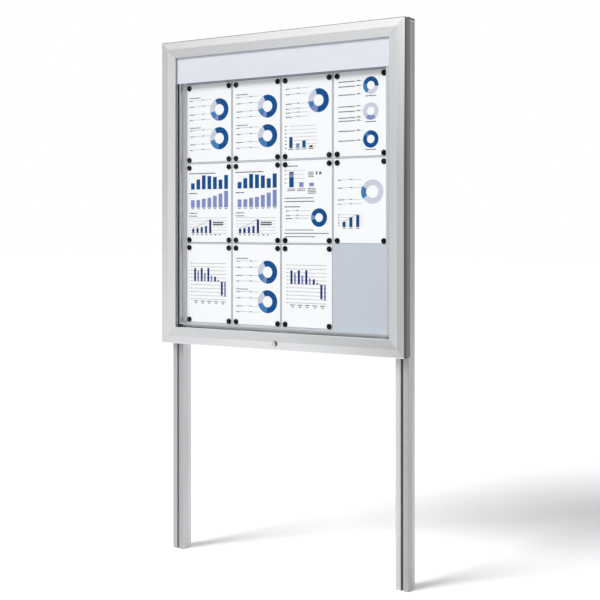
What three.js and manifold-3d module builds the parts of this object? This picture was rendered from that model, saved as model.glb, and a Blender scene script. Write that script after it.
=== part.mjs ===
// Lockable outdoor notice board on two posts, for twelve A4 sheets in four columns and three rows.
// Millimetres, +Z up, the door faces -Y, and the origin lies on the ground under the middle of the board.
// Inside the board group, Y counts back from the door's front plane and Z up from the door's bottom edge.

import * as THREE from "three";
import { mergeVertices } from "three/addons/utils/BufferGeometryUtils.js";
import Module from "manifold-3d";

// Driving dimensions of the display
const sheetWidth = 210;
const sheetHeight = 297;
const sheetThickness = 0.5;
const sheetGap = 5;
const columns = 4;
const rows = 3;
const emptyPlaces = ["3_4"];
const marginSide = 9.5;
const marginBottom = 4.5;
const marginTop = 84.5;
const groundClearance = 795;

// Clearances
const jointGap = 0.3;
const overrun = 5;

// Case profile: a channel, open to the front, with a groove for the back panel and a chamber behind it
const caseReach = 75.5;
const caseWall = 2;
const caseWeb = 2;
const caseInset = 1;
const caseRound = 12;
const rearChamber = 3.5;
const grooveDepth = 10;
const cavityDepth = 23.5;
const panelThickness = 3;
const sealWidth = 4;
const sealDepth = 3.1;

// Door profile: a flat band, a bevel down to the lip, a glass pocket and a closed chamber
const doorFace = 60.75;
const doorBand = 29;
const doorDish = 5;
const doorDepth = 24;
const doorWall = 2;
const doorRound = 3;
const lipLeg = 4.7;
const pocketReach = 11.25;
const glassThickness = 4;
const glassHold = 10.75;
const gasketProud = 0.5;
const gasketDepth = 3.2;
const gasketEdge = 0.5;
const headerThickness = 1.5;
const headerTuck = 3.75;
const headerGap = 2;
const beadToe = 6;

// Corner keys
const keyLeg = 70;
const keyThickness = 4;
const keyClearance = 1.2;
const doorKeyWidth = 26;
const doorKeySetback = 2.5;

// Hinge along the top
const leafThickness = 1.4;
const leafWidth = 24;
const caseLeafWidth = 17;
const barrelRadius = 3.2;
const hingePinRadius = 1.5;
const knuckles = 9;
const hingeEnd = 20;

// Posts
const postWidth = 50;
const postDepth = 50;
const postWall = 2.5;
const postRound = 3;
const postInset = 36.5;
const postDrop = 4;
const slotMouth = 9.5;
const slotLip = 3;
const slotWidth = 20;
const slotDepth = 9;
const grooveWidth = 1.4;
const grooveCut = 0.8;
const capOverhang = 1;
const capHeight = 8;
const capDome = 5;
const capRound = 1;
const capPlug = 12;

// Clamp bolts between the case and the posts
const boltRadius = 4;
const boltRise = 50;
const boltHeadWidth = 18;
const boltHeadHeight = 9;
const boltHeadThickness = 4;
const washerRadius = 10;
const washerThickness = 2;
const nutRadius = 7.5;
const nutThickness = 6;
const boltEnd = 2;

// Magnets on the sheets
const magnetRadius = 8;
const magnetHeight = 3.5;
const magnetInsetLeft = 15;
const magnetInsetRight = 12;
const magnetInsetTop = 15;
const magnetInsetBottom = 9.5;

// Lock in the bottom rail
const lockRise = 23;
const lockHeadRadius = 10;
const lockProud = 1.5;
const lockHeadRim = 1;
const lockBarrelRadius = 8;
const lockBoreRadius = 5.3;
const lockNutRadius = 11.5;
const lockNutThickness = 3;
const lockTail = 0.7;
const plugRadius = 5;
const plugSink = 0.3;
const keySlotWidth = 1.2;
const keySlotLength = 6.5;
const keySlotDepth = 12;
const tailWidth = 5;
const camThickness = 2.5;
const camWidth = 12;
const camHubRadius = 8;
const keeperWidth = 30;
const keeperThickness = 2.2;
const keeperArm = 2.5;
const keeperSetback = 6;
const keeperFoot = 16;
const keeperClearance = 0.6;
const camClearance = 5;
const lipEdgeShare = 0.58;

// Gas struts, one in each side channel
const pivotDrop = 59;
const studDrop = 309;
const strutRadius = 7.5;
const strutEyeRadius = 7;
const strutEyeWidth = 10;
const strutNeck = 11;
const strutPinRadius = 3;
const rodRadius = 3;
const rodEyeRadius = 6;
const rodEyeWidth = 8;
const cylinderShare = 0.66;
const rodShare = 0.64;
const boreShare = 0.32;
const strutClearance = 0.8;
const bracketThickness = 2.2;
const bracketHalfHeight = 14;
const bracketHalfDepth = 7;
const collarRadius = 5;
const collarClearance = 2.5;
const pinEnd = 1;
const studEar = 3;
const studLength = 8.7;
const studFlange = 18;
const studEarHeight = 7;

// Facets
const roundSides = 24;
const smallSides = 16;
const magnetSides = 14;
const filletSteps = 4;
const quarterTurn = Math.PI / 2;

// Depths behind the door's front plane
const lipEnd = doorDish + lipLeg;
const glassFront = lipEnd + gasketProud + jointGap;
const glassBack = glassFront + glassThickness;
const headerFront = glassBack + jointGap;
const headerBack = headerFront + headerThickness;
const sealFront = headerBack + jointGap;
const caseWallFront = sealFront + sealDepth + jointGap;
const panelFront = caseWallFront + cavityDepth;
const panelBack = panelFront + panelThickness;
const webFront = panelBack + jointGap;
const caseBack = webFront + 2 * caseWeb + rearChamber;
const caseFront = doorDepth + leafThickness + 2 * jointGap;
const postFront = caseBack + jointGap;
const postBack = postFront + postDepth;
const keyFront = webFront - jointGap - keyThickness;

// Outlines of the door and the case
const gridWidth = columns * sheetWidth + (columns - 1) * sheetGap;
const gridHeight = rows * sheetHeight + (rows - 1) * sheetGap;
const frameReach = caseInset + caseReach;
const boardWidth = gridWidth + 2 * (marginSide + frameReach);
const boardHeight = gridHeight + marginBottom + marginTop + 2 * frameReach;
const caseWidth = boardWidth - 2 * caseInset;
const caseHeight = boardHeight - 2 * caseInset;
const gridBottom = frameReach + marginBottom;
const gridTop = gridBottom + gridHeight;
const postX = boardWidth / 2 - postInset;
const postTop = boardHeight - postDrop;

// Hinge axis, parallel to X
const hingeY = doorDepth + jointGap + leafThickness / 2;
const hingeZ = boardHeight - caseInset + jointGap + leafThickness / 2;
const hingeLength = caseWidth - 2 * hingeEnd;

// Lock depths and heights
const barrelEnd = doorDepth + jointGap + lockNutThickness + lockTail;
const camFront = barrelEnd + jointGap;
const camBack = camFront + camThickness;
const legInner = caseReach - grooveDepth - caseWall;
const keeperTop = caseInset + legInner - keeperSetback;
const camLength = keeperTop - keeperArm - camClearance - lockRise;
const nutTop = lockRise + lockNutRadius;
const keeperEdge = nutTop + (lockRise + camLength - nutTop) * lipEdgeShare;
const keeperLipBack = camFront - keeperClearance;

// Strut pivots: the upper one on the case, the lower one on the door
const collarLength = strutRadius - strutEyeWidth / 2 + collarClearance - jointGap;
const bracketFace = caseInset + caseWall + jointGap + bracketThickness;
const strutInset = bracketFace + collarLength + jointGap + strutEyeWidth / 2;
const strutX = boardWidth / 2 - strutInset;
const pivotY = keyFront - strutClearance - strutRadius;
const pivotZ = hingeZ - pivotDrop;
const studY = doorDepth + rodEyeRadius + strutClearance;
const studZ = hingeZ - studDrop;
const strutLength = Math.hypot(studY - pivotY, studZ - pivotZ);
const strutLean = Math.atan2(studY - pivotY, pivotZ - studZ);

const wasm = await Module();
wasm.setup();

const finishes = {
  anodised: { color: 0xd6d8dc, roughness: 0.42, metalness: 0.85 },
  post: { color: 0xc4c5c9, roughness: 0.45, metalness: 0.85 },
  casting: { color: 0xa9abaf, roughness: 0.6, metalness: 0.8 },
  panel: { color: 0xc3ced8, roughness: 0.5, metalness: 0.1 },
  header: { color: 0xe4e9f0, roughness: 0.55, metalness: 0.0 },
  glass: { color: 0xe8f1f2, roughness: 0.03, metalness: 0.0, transparent: true, opacity: 0.2 },
  rubber: { color: 0x232528, roughness: 0.85, metalness: 0.0 },
  cap: { color: 0x6f7276, roughness: 0.6, metalness: 0.0 },
  paper: { color: 0xf4f7f6, roughness: 0.8, metalness: 0.0 },
  chrome: { color: 0xd0d2d4, roughness: 0.15, metalness: 1.0 },
  steel: { color: 0xb4b6b8, roughness: 0.35, metalness: 1.0 },
  strut: { color: 0x1e2023, roughness: 0.4, metalness: 0.4 },
};

function named(name, geometry, finish) {
  const mesh = new THREE.Mesh(geometry, new THREE.MeshStandardMaterial(finishes[finish]));
  mesh.name = name;
  return mesh;
}

function placed(mesh, x, y, z) {
  mesh.position.set(x, y, z);
  return mesh;
}

// A closed geometry as a solid for cuts and joins
function solid(geometry) {
  const bare = geometry.clone();
  bare.deleteAttribute("normal");
  bare.deleteAttribute("uv");
  const welded = mergeVertices(bare);
  const mesh = new wasm.Mesh({
    numProp: 3,
    vertProperties: new Float32Array(welded.attributes.position.array),
    triVerts: new Uint32Array(welded.index.array),
  });
  return new wasm.Manifold(mesh);
}

function geometryOf(body) {
  const mesh = body.getMesh();
  const geometry = new THREE.BufferGeometry();
  geometry.setAttribute("position", new THREE.BufferAttribute(mesh.vertProperties, 3));
  geometry.setIndex(new THREE.BufferAttribute(mesh.triVerts, 1));
  const flat = geometry.toNonIndexed();
  flat.computeVertexNormals();
  return flat;
}

function joined(...geometries) {
  const bodies = geometries.map(solid);
  return geometryOf(bodies.reduce((whole, body) => whole.add(body)));
}

function cut(geometry, ...tools) {
  const start = solid(geometry);
  return geometryOf(tools.reduce((rest, tool) => rest.subtract(solid(tool)), start));
}

// Corners are [x, y] or [x, y, radius], and a radius rounds the corner
function trace(path, corners) {
  corners.forEach(([x, y, radius = 0], index) => {
    const here = new THREE.Vector2(x, y);
    const last = new THREE.Vector2(...corners.at(index - 1).slice(0, 2));
    const next = new THREE.Vector2(...corners[(index + 1) % corners.length].slice(0, 2));
    const entry = here.clone().add(last.sub(here).setLength(radius));
    const leave = here.clone().add(next.sub(here).setLength(radius));
    if (index === 0) path.moveTo(entry.x, entry.y);
    else path.lineTo(entry.x, entry.y);
    if (radius > 0) path.quadraticCurveTo(x, y, leave.x, leave.y);
  });
  path.closePath();
  return path;
}

function section(corners, ...openings) {
  const shape = trace(new THREE.Shape(), corners);
  shape.holes = openings.map((opening) => trace(new THREE.Path(), opening));
  return shape;
}

function extruded(shape, depth) {
  const options = { depth, bevelEnabled: false, curveSegments: filletSteps };
  return new THREE.ExtrudeGeometry(shape, options);
}

function rectangle(left, right, low, high, radius = 0) {
  return [
    [left, low, radius],
    [right, low, radius],
    [right, high, radius],
    [left, high, radius],
  ];
}

// A plate drawn in X and Z, from one depth to another
function plate(shape, front, back) {
  const geometry = extruded(shape, back - front);
  geometry.rotateX(quarterTurn);
  geometry.translate(0, back, 0);
  return geometry;
}

function box(left, right, front, back, low, high) {
  const geometry = new THREE.BoxGeometry(right - left, back - front, high - low);
  geometry.translate((left + right) / 2, (front + back) / 2, (low + high) / 2);
  return geometry;
}

// Cylinders along Y, X and Z
function rodY(radius, front, back, sides) {
  const geometry = new THREE.CylinderGeometry(radius, radius, back - front, sides);
  geometry.translate(0, (front + back) / 2, 0);
  return geometry;
}

function rodX(radius, left, right, sides) {
  const geometry = rodY(radius, left, right, sides);
  geometry.rotateZ(-quarterTurn);
  return geometry;
}

// A profile drawn as reach from the frame's outer edge and depth, with both ends cut at 45 degrees
function mitred(shape, length) {
  const trim = jointGap * Math.SQRT1_2;
  const geometry = extruded(shape, length);
  const corners = geometry.attributes.position;
  for (let i = 0; i < corners.count; i += 1) {
    const shift = corners.getX(i) + trim;
    const along = corners.getZ(i);
    corners.setZ(i, along > length / 2 ? along - shift : along + shift);
  }
  geometry.computeVertexNormals();
  return geometry;
}

// The four sides of a rectangular frame: its corner, its length and its turn about Y
function frameSides(width, height, low) {
  const half = width / 2;
  return {
    left: { length: height, turn: 0, x: -half, z: low },
    bottom: { length: width, turn: -quarterTurn, x: half, z: low },
    right: { length: height, turn: 2 * quarterTurn, x: half, z: low + height },
    top: { length: width, turn: quarterTurn, x: -half, z: low + height },
  };
}

function onSide(mesh, side) {
  mesh.rotation.y = side.turn;
  return placed(mesh, side.x, 0, side.z);
}

const caseSides = frameSides(caseWidth, caseHeight, caseInset);
const doorSides = frameSides(boardWidth, boardHeight, 0);
const sideNames = Object.keys(caseSides);
const cornerNames = {
  left: "bottom_left",
  bottom: "bottom_right",
  right: "top_right",
  top: "top_left",
};

function caseSection(front) {
  const grooveFloor = caseReach - grooveDepth;
  const chamberFront = webFront + caseWeb;
  const chamberEnd = caseReach - caseWall;
  return section(
    [
      [0, front],
      [caseWall, front],
      [caseWall, webFront],
      [legInner, webFront],
      [legInner, panelFront - jointGap - caseWall],
      [caseReach - caseWall, panelFront - jointGap - caseWall],
      [caseReach - caseWall, caseWallFront],
      [caseReach, caseWallFront],
      [caseReach, panelFront - jointGap],
      [grooveFloor, panelFront - jointGap],
      [grooveFloor, webFront],
      [caseReach, webFront],
      [caseReach, caseBack],
      [0, caseBack, caseRound],
    ],
    [
      [caseRound / 2, chamberFront],
      [chamberEnd, chamberFront],
      [chamberEnd, caseBack - caseWeb],
      [caseRound, caseBack - caseWeb],
    ],
  );
}

// The clamp bolts pass through the rear walls of the left and right profiles
function boltHeights() {
  return { lower: boltRise, upper: boardHeight - boltRise };
}

function caseProfile(name) {
  const side = caseSides[name];
  const top = name === "top";
  const upright = name === "left" || name === "right";
  const front = top ? hingeY + barrelRadius + jointGap : caseFront;
  const blank = mitred(caseSection(front), side.length);
  if (!upright) return onSide(named(`case_${name}`, blank, "anodised"), side);
  const holes = Object.values(boltHeights()).map((height) => {
    const hole = rodY(boltRadius + jointGap, webFront - overrun, caseBack + overrun, smallSides);
    hole.translate(postInset - caseInset, 0, height - caseInset);
    return hole;
  });
  return onSide(named(`case_${name}`, cut(blank, ...holes), "anodised"), side);
}

function keyShape(edge, width) {
  return section([
    [edge, edge],
    [edge + keyLeg, edge],
    [edge + keyLeg, edge + width],
    [edge + width, edge + width],
    [edge + width, edge + keyLeg],
    [edge, edge + keyLeg],
  ]);
}

function caseCorner(name) {
  const edge = caseWall + jointGap;
  const width = postInset - caseInset - washerRadius - keyClearance - edge;
  const shape = keyShape(edge, width);
  const geometry = plate(shape, keyFront, webFront - jointGap);
  return onSide(named(`case_corner_${cornerNames[name]}`, geometry, "casting"), caseSides[name]);
}

function backPanel() {
  const edge = caseReach - grooveDepth + jointGap;
  const half = caseWidth / 2 - edge;
  const low = caseInset + edge;
  const high = boardHeight - low;
  return named("back_panel", box(-half, half, panelFront, panelBack, low, high), "panel");
}

function ring(width, height, outer, inner, front, back) {
  const edge = (reach) => [reach - width / 2, width / 2 - reach, reach, height - reach];
  return plate(section(rectangle(...edge(outer)), rectangle(...edge(inner))), front, back);
}

function caseSeal() {
  const inner = caseReach - caseWall / 2 + sealWidth / 2;
  const geometry = ring(caseWidth, caseHeight, inner - sealWidth, inner, sealFront, sealFront + sealDepth);
  return placed(named("case_seal", geometry, "rubber"), 0, 0, caseInset);
}

// Door profiles. The top rail is cut back at its rear edge for the hinge barrel
function bevelDepth(reach) {
  return (doorDish * (reach - doorBand)) / (doorFace - doorBand);
}

function doorSection(top) {
  const pocket = doorFace - pocketReach;
  const chamber = pocket - doorWall;
  const leg = doorFace - doorWall;
  const rebateReach = boardHeight - hingeZ + barrelRadius + jointGap;
  const rebateDepth = hingeY - barrelRadius - jointGap;
  const rear = top
    ? [[rebateReach, doorDepth], [rebateReach, rebateDepth], [0, rebateDepth]]
    : [[0, doorDepth]];
  const chamberRear = top
    ? [
        [rebateReach + doorWall, doorDepth - doorWall],
        [rebateReach + doorWall, rebateDepth - doorWall],
        [doorWall, rebateDepth - doorWall],
      ]
    : [[doorWall, doorDepth - doorWall]];
  return section(
    [
      [0, 0, doorRound],
      [doorBand, 0],
      [doorFace, doorDish],
      [doorFace, lipEnd],
      [leg, lipEnd],
      [leg, bevelDepth(leg) + doorWall],
      [pocket, bevelDepth(pocket) + doorWall],
      [pocket, doorDepth],
      ...rear,
    ],
    [
      [doorWall, doorWall],
      [doorBand, doorWall],
      [chamber, bevelDepth(chamber) + doorWall],
      [chamber, doorDepth - doorWall],
      ...chamberRear,
    ],
  );
}

function doorProfile(name) {
  const side = doorSides[name];
  const kind = name === "top" || name === "bottom" ? "rail" : "stile";
  const blank = mitred(doorSection(name === "top"), side.length);
  if (name !== "bottom") return onSide(named(`door_${name}_${kind}`, blank, "anodised"), side);
  const hole = rodY(lockBarrelRadius + jointGap, -overrun, doorDepth + overrun, roundSides);
  hole.translate(lockRise, 0, side.length / 2);
  return onSide(named("door_bottom_rail", cut(blank, hole), "anodised"), side);
}

function doorCorner(name) {
  const shape = keyShape(doorWall + jointGap, doorKeyWidth - doorWall);
  const back = hingeY - barrelRadius - jointGap - doorWall - jointGap;
  const geometry = plate(shape, doorKeySetback, back);
  return onSide(named(`door_corner_${cornerNames[name]}`, geometry, "casting"), doorSides[name]);
}

function glazing() {
  const edge = doorFace - glassHold;
  const half = boardWidth / 2 - edge;
  const pane = box(-half, half, glassFront, glassBack, edge, boardHeight - edge);
  return named("glazing", pane, "glass");
}

function glazingGasket() {
  const outer = doorFace - pocketReach + gasketEdge;
  const inner = doorFace - doorWall - gasketEdge;
  const front = glassFront - jointGap - gasketDepth;
  const geometry = ring(boardWidth, boardHeight, outer, inner, front, glassFront - jointGap);
  return named("glazing_gasket", geometry, "rubber");
}

function glazingBead(name) {
  const edge = doorFace - pocketReach + jointGap;
  const toe = edge + beadToe;
  const face = doorFace - jointGap;
  const front = headerBack + jointGap;
  const shape = section([
    [edge, headerFront],
    [toe, headerFront],
    [toe, front],
    [face, front],
    [face, doorDepth - jointGap],
    [edge, doorDepth - jointGap],
  ]);
  const side = doorSides[name];
  return onSide(named(`glazing_bead_${name}`, mitred(shape, side.length), "anodised"), side);
}

function headerPanel() {
  const edge = doorFace - headerTuck;
  const half = boardWidth / 2 - edge;
  const low = gridTop + headerGap;
  const geometry = box(-half, half, headerFront, headerBack, low, boardHeight - edge);
  return named("header_panel", geometry, "header");
}

// Hinge: knuckles take turns between the two leaves, the case's own first and last
function knuckleSpan(index) {
  const pitch = hingeLength / knuckles;
  const start = -hingeLength / 2 + index * pitch;
  return [start + jointGap / 2, start + pitch - jointGap / 2];
}

function hingeLeaf(name, blank, owned) {
  const parts = [blank];
  const clear = [];
  const reach = barrelRadius + jointGap;
  for (let index = 0; index < knuckles; index += 1) {
    const [left, right] = knuckleSpan(index);
    if (index % 2 === owned) {
      parts.push(rodX(barrelRadius, left, right, smallSides));
    } else {
      clear.push(box(left - jointGap, right + jointGap, -reach, reach, -reach, reach));
    }
  }
  const half = hingeLength / 2 + overrun;
  const bore = rodX(hingePinRadius + jointGap, -half, half, smallSides);
  const body = cut(joined(...parts), ...clear, bore);
  return placed(named(name, body, "steel"), 0, hingeY, hingeZ);
}

function hinge() {
  const [left] = knuckleSpan(0);
  const half = leafThickness / 2;
  const top = box(left, -left, 0, caseLeafWidth, -half, half);
  const down = box(left, -left, -half, half, -leafWidth, 0);
  const pin = rodX(hingePinRadius, left, -left, smallSides);
  return {
    caseLeaf: hingeLeaf("hinge_leaf_case", top, 0),
    doorLeaf: hingeLeaf("hinge_leaf_door", down, 1),
    pin: placed(named("hinge_pin", pin, "steel"), 0, hingeY, hingeZ),
  };
}

// Posts with a T-slot in the front face, a line groove down the middle of each side and one chamber
function postSection() {
  const half = postWidth / 2;
  const mouth = slotMouth / 2;
  const slot = slotWidth / 2;
  const chamber = half - postWall;
  const slotBack = slotLip + slotDepth;
  const grooveFar = (postDepth + grooveWidth) / 2;
  const grooveNear = grooveFar - grooveWidth;
  return section(
    [
      [-half, 0, postRound],
      [-mouth, 0],
      [-mouth, slotLip],
      [-slot, slotLip],
      [-slot, slotBack],
      [slot, slotBack],
      [slot, slotLip],
      [mouth, slotLip],
      [mouth, 0],
      [half, 0, postRound],
      [half, grooveNear],
      [half - grooveCut, grooveNear],
      [half - grooveCut, grooveFar],
      [half, grooveFar],
      [half, postDepth, postRound],
      [-half, postDepth, postRound],
      [-half, grooveFar],
      [grooveCut - half, grooveFar],
      [grooveCut - half, grooveNear],
      [-half, grooveNear],
    ],
    [
      [-chamber, postWall],
      [-slot - postWall, postWall],
      [-slot - postWall, slotBack + postWall],
      [slot + postWall, slotBack + postWall],
      [slot + postWall, postWall],
      [chamber, postWall],
      [chamber, postDepth - postWall],
      [-chamber, postDepth - postWall],
    ],
  );
}

function post(name, x) {
  const geometry = extruded(postSection(), groundClearance + postTop);
  return placed(named(`post_${name}`, geometry, "post"), x, postFront, -groundClearance);
}

function postCap(name, x) {
  const half = postWidth / 2 + capOverhang;
  const outline = rectangle(
    capDome - half,
    half - capDome,
    capDome - capOverhang,
    postDepth + capOverhang - capDome,
    capRound,
  );
  const dome = new THREE.ExtrudeGeometry(section(outline), {
    depth: capHeight,
    bevelThickness: capDome,
    bevelSize: capDome,
    bevelSegments: filletSteps,
    curveSegments: filletSteps,
  });
  const skirt = capHeight + 2 * capDome + overrun;
  const level = box(-postWidth, postWidth, -postDepth, 2 * postDepth, -skirt, 0);
  const inset = postWall + jointGap;
  const plug = box(
    inset - postWidth / 2,
    postWidth / 2 - inset,
    slotLip + slotDepth + inset,
    postDepth - inset,
    -capPlug,
    capHeight / 2,
  );
  const body = joined(cut(dome, level), plug);
  return placed(named(`post_cap_${name}`, body, "cap"), x, postFront, postTop + jointGap);
}

// T-head in the post's slot, shank through the case's rear walls, washer and nut inside the channel
function clampBolt(name, x, z) {
  const headFront = postFront + slotLip + jointGap;
  const headBack = headFront + boltHeadThickness;
  const washerBack = webFront - jointGap;
  const washerFront = washerBack - washerThickness;
  const nutFront = washerFront - nutThickness;
  const wide = boltHeadWidth / 2;
  const tall = boltHeadHeight / 2;
  const body = joined(
    box(-wide, wide, headFront, headBack, -tall, tall),
    rodY(boltRadius, nutFront - boltEnd, headBack, smallSides),
    rodY(washerRadius, washerFront, washerBack, smallSides),
    rodY(nutRadius, nutFront, washerFront + washerThickness / 2, 6),
  );
  return placed(named(`clamp_bolt_${name}`, body, "steel"), x, 0, z);
}

// One sheet and the four magnets that hold it
function noticeSheet(row, column) {
  const x = -gridWidth / 2 + (column - 1) * (sheetWidth + sheetGap) + sheetWidth / 2;
  const z = gridTop - (row - 1) * (sheetHeight + sheetGap) - sheetHeight / 2;
  const back = panelFront - jointGap;
  const front = back - sheetThickness;
  const halfWidth = sheetWidth / 2;
  const halfHeight = sheetHeight / 2;
  const parts = [box(-halfWidth, halfWidth, front, back, -halfHeight, halfHeight)];
  for (const magnetX of [magnetInsetLeft - halfWidth, halfWidth - magnetInsetRight]) {
    for (const magnetZ of [magnetInsetBottom - halfHeight, halfHeight - magnetInsetTop]) {
      const magnet = rodY(magnetRadius, front - magnetHeight, front + sheetThickness / 2, magnetSides);
      magnet.translate(magnetX, 0, magnetZ);
      parts.push(magnet);
    }
  }
  return placed(named(`notice_sheet_${row}_${column}`, joined(...parts), "paper"), x, 0, z);
}

function noticeSheets() {
  const sheets = [];
  for (let row = 1; row <= rows; row += 1) {
    for (let column = 1; column <= columns; column += 1) {
      const empty = emptyPlaces.includes(`${row}_${column}`);
      if (!empty) sheets.push(noticeSheet(row, column));
    }
  }
  return sheets;
}

// Cam lock: housing and nut stay in the door, plug and cam turn
function lockHousing() {
  const profile = [
    [lockBoreRadius, -lockProud],
    [lockHeadRadius - lockHeadRim, -lockProud],
    [lockHeadRadius, -jointGap],
    [lockBarrelRadius, -jointGap],
    [lockBarrelRadius, barrelEnd],
    [lockBoreRadius, barrelEnd],
    [lockBoreRadius, -lockProud],
  ].map(([r, y]) => new THREE.Vector2(r, y));
  return named("lock_housing", new THREE.LatheGeometry(profile, roundSides), "chrome");
}

function lockNut() {
  const front = doorDepth + jointGap;
  const blank = rodY(lockNutRadius, front, front + lockNutThickness - jointGap, 6);
  const bore = rodY(lockBarrelRadius + jointGap, front - overrun, barrelEnd + overrun, roundSides);
  return named("lock_nut", cut(blank, bore), "steel");
}

function lockPlug() {
  const face = plugSink - lockProud;
  const half = tailWidth / 2;
  const slot = keySlotWidth / 2;
  const tall = keySlotLength / 2;
  const barrel = rodY(plugRadius, face, barrelEnd, roundSides);
  const tail = box(-half, half, barrelEnd - half, camBack + lockTail, -half, half);
  const keyway = box(-slot, slot, face - overrun, face + keySlotDepth, -tall, tall);
  return named("lock_plug", cut(joined(barrel, tail), keyway), "chrome");
}

function lockCam() {
  const half = camWidth / 2;
  const hub = rodY(camHubRadius, camFront, camBack, roundSides);
  const arm = plate(section(rectangle(0, camLength, -half, half, half / 2)), camFront, camBack);
  const square = tailWidth / 2 + jointGap;
  const hole = box(-square, square, camFront - overrun, camBack + overrun, -square, square);
  return named("lock_cam", cut(joined(hub, arm), hole), "steel");
}

function lockKeeper() {
  const lipFront = keeperLipBack - keeperThickness;
  const footBack = webFront - jointGap;
  const footFront = footBack - keeperThickness;
  const under = keeperTop - keeperArm;
  const shape = section([
    [lipFront, keeperEdge],
    [keeperLipBack, keeperEdge],
    [keeperLipBack, under],
    [footFront, under],
    [footFront, keeperTop - keeperFoot],
    [footBack, keeperTop - keeperFoot],
    [footBack, keeperTop],
    [lipFront, keeperTop, keeperThickness],
  ]);
  const geometry = extruded(shape, keeperWidth);
  geometry.translate(0, 0, -keeperWidth / 2);
  const turn = new THREE.Matrix4().makeBasis(
    new THREE.Vector3(0, 1, 0),
    new THREE.Vector3(0, 0, 1),
    new THREE.Vector3(1, 0, 0),
  );
  geometry.applyMatrix4(turn);
  return named("lock_keeper", geometry, "steel");
}

// Gas struts: local Y runs from the case's pivot to the door's stud
function strutCylinder(name) {
  const half = strutEyeWidth / 2;
  const end = strutLength * cylinderShare;
  const bore = strutLength * boreShare;
  const outline = [
    [0, strutNeck],
    [strutRadius, strutNeck],
    [strutRadius, end],
    [rodRadius + jointGap, end],
    [rodRadius + jointGap, bore],
    [0, bore],
  ].map(([r, y]) => new THREE.Vector2(r, y));
  const tube = new THREE.LatheGeometry(outline, roundSides);
  const neck = rodY(strutPinRadius + jointGap, 0, strutNeck + strutPinRadius, smallSides);
  const eye = rodX(strutEyeRadius, -half, half, smallSides);
  const hole = rodX(strutPinRadius + jointGap, -half - overrun, half + overrun, smallSides);
  return named(`strut_cylinder_${name}`, cut(joined(tube, neck, eye), hole), "strut");
}

function strutRod(name) {
  const half = rodEyeWidth / 2;
  const start = strutLength * (1 - rodShare);
  const shaft = rodY(rodRadius, start, strutLength, smallSides);
  const eye = rodX(rodEyeRadius, -half, half, smallSides);
  eye.translate(0, strutLength, 0);
  return named(`strut_rod_${name}`, joined(shaft, eye), "chrome");
}

function strut(name, x) {
  const group = new THREE.Group();
  group.add(strutCylinder(name), strutRod(name));
  group.rotation.x = strutLean - quarterTurn;
  group.position.set(x, pivotY, pivotZ);
  return group;
}

// Pin bracket on the case's outer wall, drawn for the right side with its pin pointing inwards
function strutBracket(name, side) {
  const face = strutEyeWidth / 2 + jointGap;
  const collarEnd = face + collarLength;
  const flat = rectangle(
    -bracketHalfHeight,
    bracketHalfHeight,
    -bracketHalfDepth,
    bracketHalfDepth,
    bracketHalfDepth / 2,
  );
  const flange = extruded(section(flat), bracketThickness);
  flange.rotateY(quarterTurn);
  flange.translate(collarEnd, 0, 0);
  const body = joined(
    flange,
    rodX(collarRadius, face, collarEnd + bracketThickness / 2, smallSides),
    rodX(strutPinRadius, -strutEyeWidth / 2 - pinEnd, collarEnd, smallSides),
  );
  const mesh = placed(named(`strut_bracket_${name}`, body, "steel"), side * strutX, pivotY, pivotZ);
  mesh.rotation.z = side > 0 ? 0 : 2 * quarterTurn;
  return mesh;
}

// Stud bracket on the back of the door, its stud beside the rod's eye
function strutStud(name, side) {
  const studEnd = -rodEyeWidth / 2 - jointGap;
  const earRight = studEnd - studLength;
  const earLeft = earRight - studEar;
  const flangeFront = doorDepth + jointGap - studY;
  const flangeBack = flangeFront + studEar / 2;
  const body = joined(
    box(earLeft - studFlange, earRight, flangeFront, flangeBack, -bracketHalfHeight, bracketHalfHeight),
    box(earLeft, earRight, flangeFront, rodEyeRadius, -studEarHeight, studEarHeight),
    rodX(strutPinRadius, earRight - studEar / 2, studEnd, smallSides),
  );
  const mesh = placed(named(`strut_stud_${name}`, body, "steel"), side * strutX, studY, studZ);
  mesh.rotation.y = side > 0 ? 0 : 2 * quarterTurn;
  return mesh;
}

const sidesByName = { left: -1, right: 1 };

function postGroup() {
  const group = new THREE.Group();
  for (const [name, side] of Object.entries(sidesByName)) {
    group.add(post(name, side * postX), postCap(name, side * postX));
    for (const [level, height] of Object.entries(boltHeights())) {
      group.add(clampBolt(`${level}_${name}`, side * postX, height));
    }
  }
  return group;
}

function caseGroup(leaf, pin) {
  const group = new THREE.Group();
  for (const name of sideNames) group.add(caseProfile(name), caseCorner(name));
  group.add(backPanel(), caseSeal(), ...noticeSheets());
  group.add(leaf, pin, lockKeeper());
  for (const [name, side] of Object.entries(sidesByName)) group.add(strutBracket(name, side));
  return group;
}

function lockGroup() {
  const group = new THREE.Group();
  group.add(lockHousing(), lockNut(), lockPlug(), lockCam());
  group.position.z = lockRise;
  return group;
}

function doorGroup(leaf) {
  const group = new THREE.Group();
  for (const name of sideNames) group.add(doorProfile(name), doorCorner(name), glazingBead(name));
  group.add(glazing(), glazingGasket(), headerPanel(), leaf, lockGroup());
  for (const [name, side] of Object.entries(sidesByName)) group.add(strutStud(name, side));
  return group;
}

function noticeBoard() {
  const { caseLeaf, doorLeaf, pin } = hinge();
  const board = new THREE.Group();
  board.add(postGroup(), caseGroup(caseLeaf, pin), doorGroup(doorLeaf));
  for (const [name, side] of Object.entries(sidesByName)) board.add(strut(name, side * strutX));
  board.position.set(0, (lockProud - postBack - capOverhang) / 2, groundClearance);
  const part = new THREE.Group();
  part.add(board);
  return part;
}

export default noticeBoard();
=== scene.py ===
"""Visual model of a lockable notice board on two posts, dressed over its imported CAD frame."""
import logging
import math
from abc import ABC, abstractmethod
from dataclasses import dataclass, field
from enum import Enum
from typing import Callable, Iterable, Optional, Sequence

import bmesh
import bpy
from mathutils import Matrix, Vector


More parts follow.
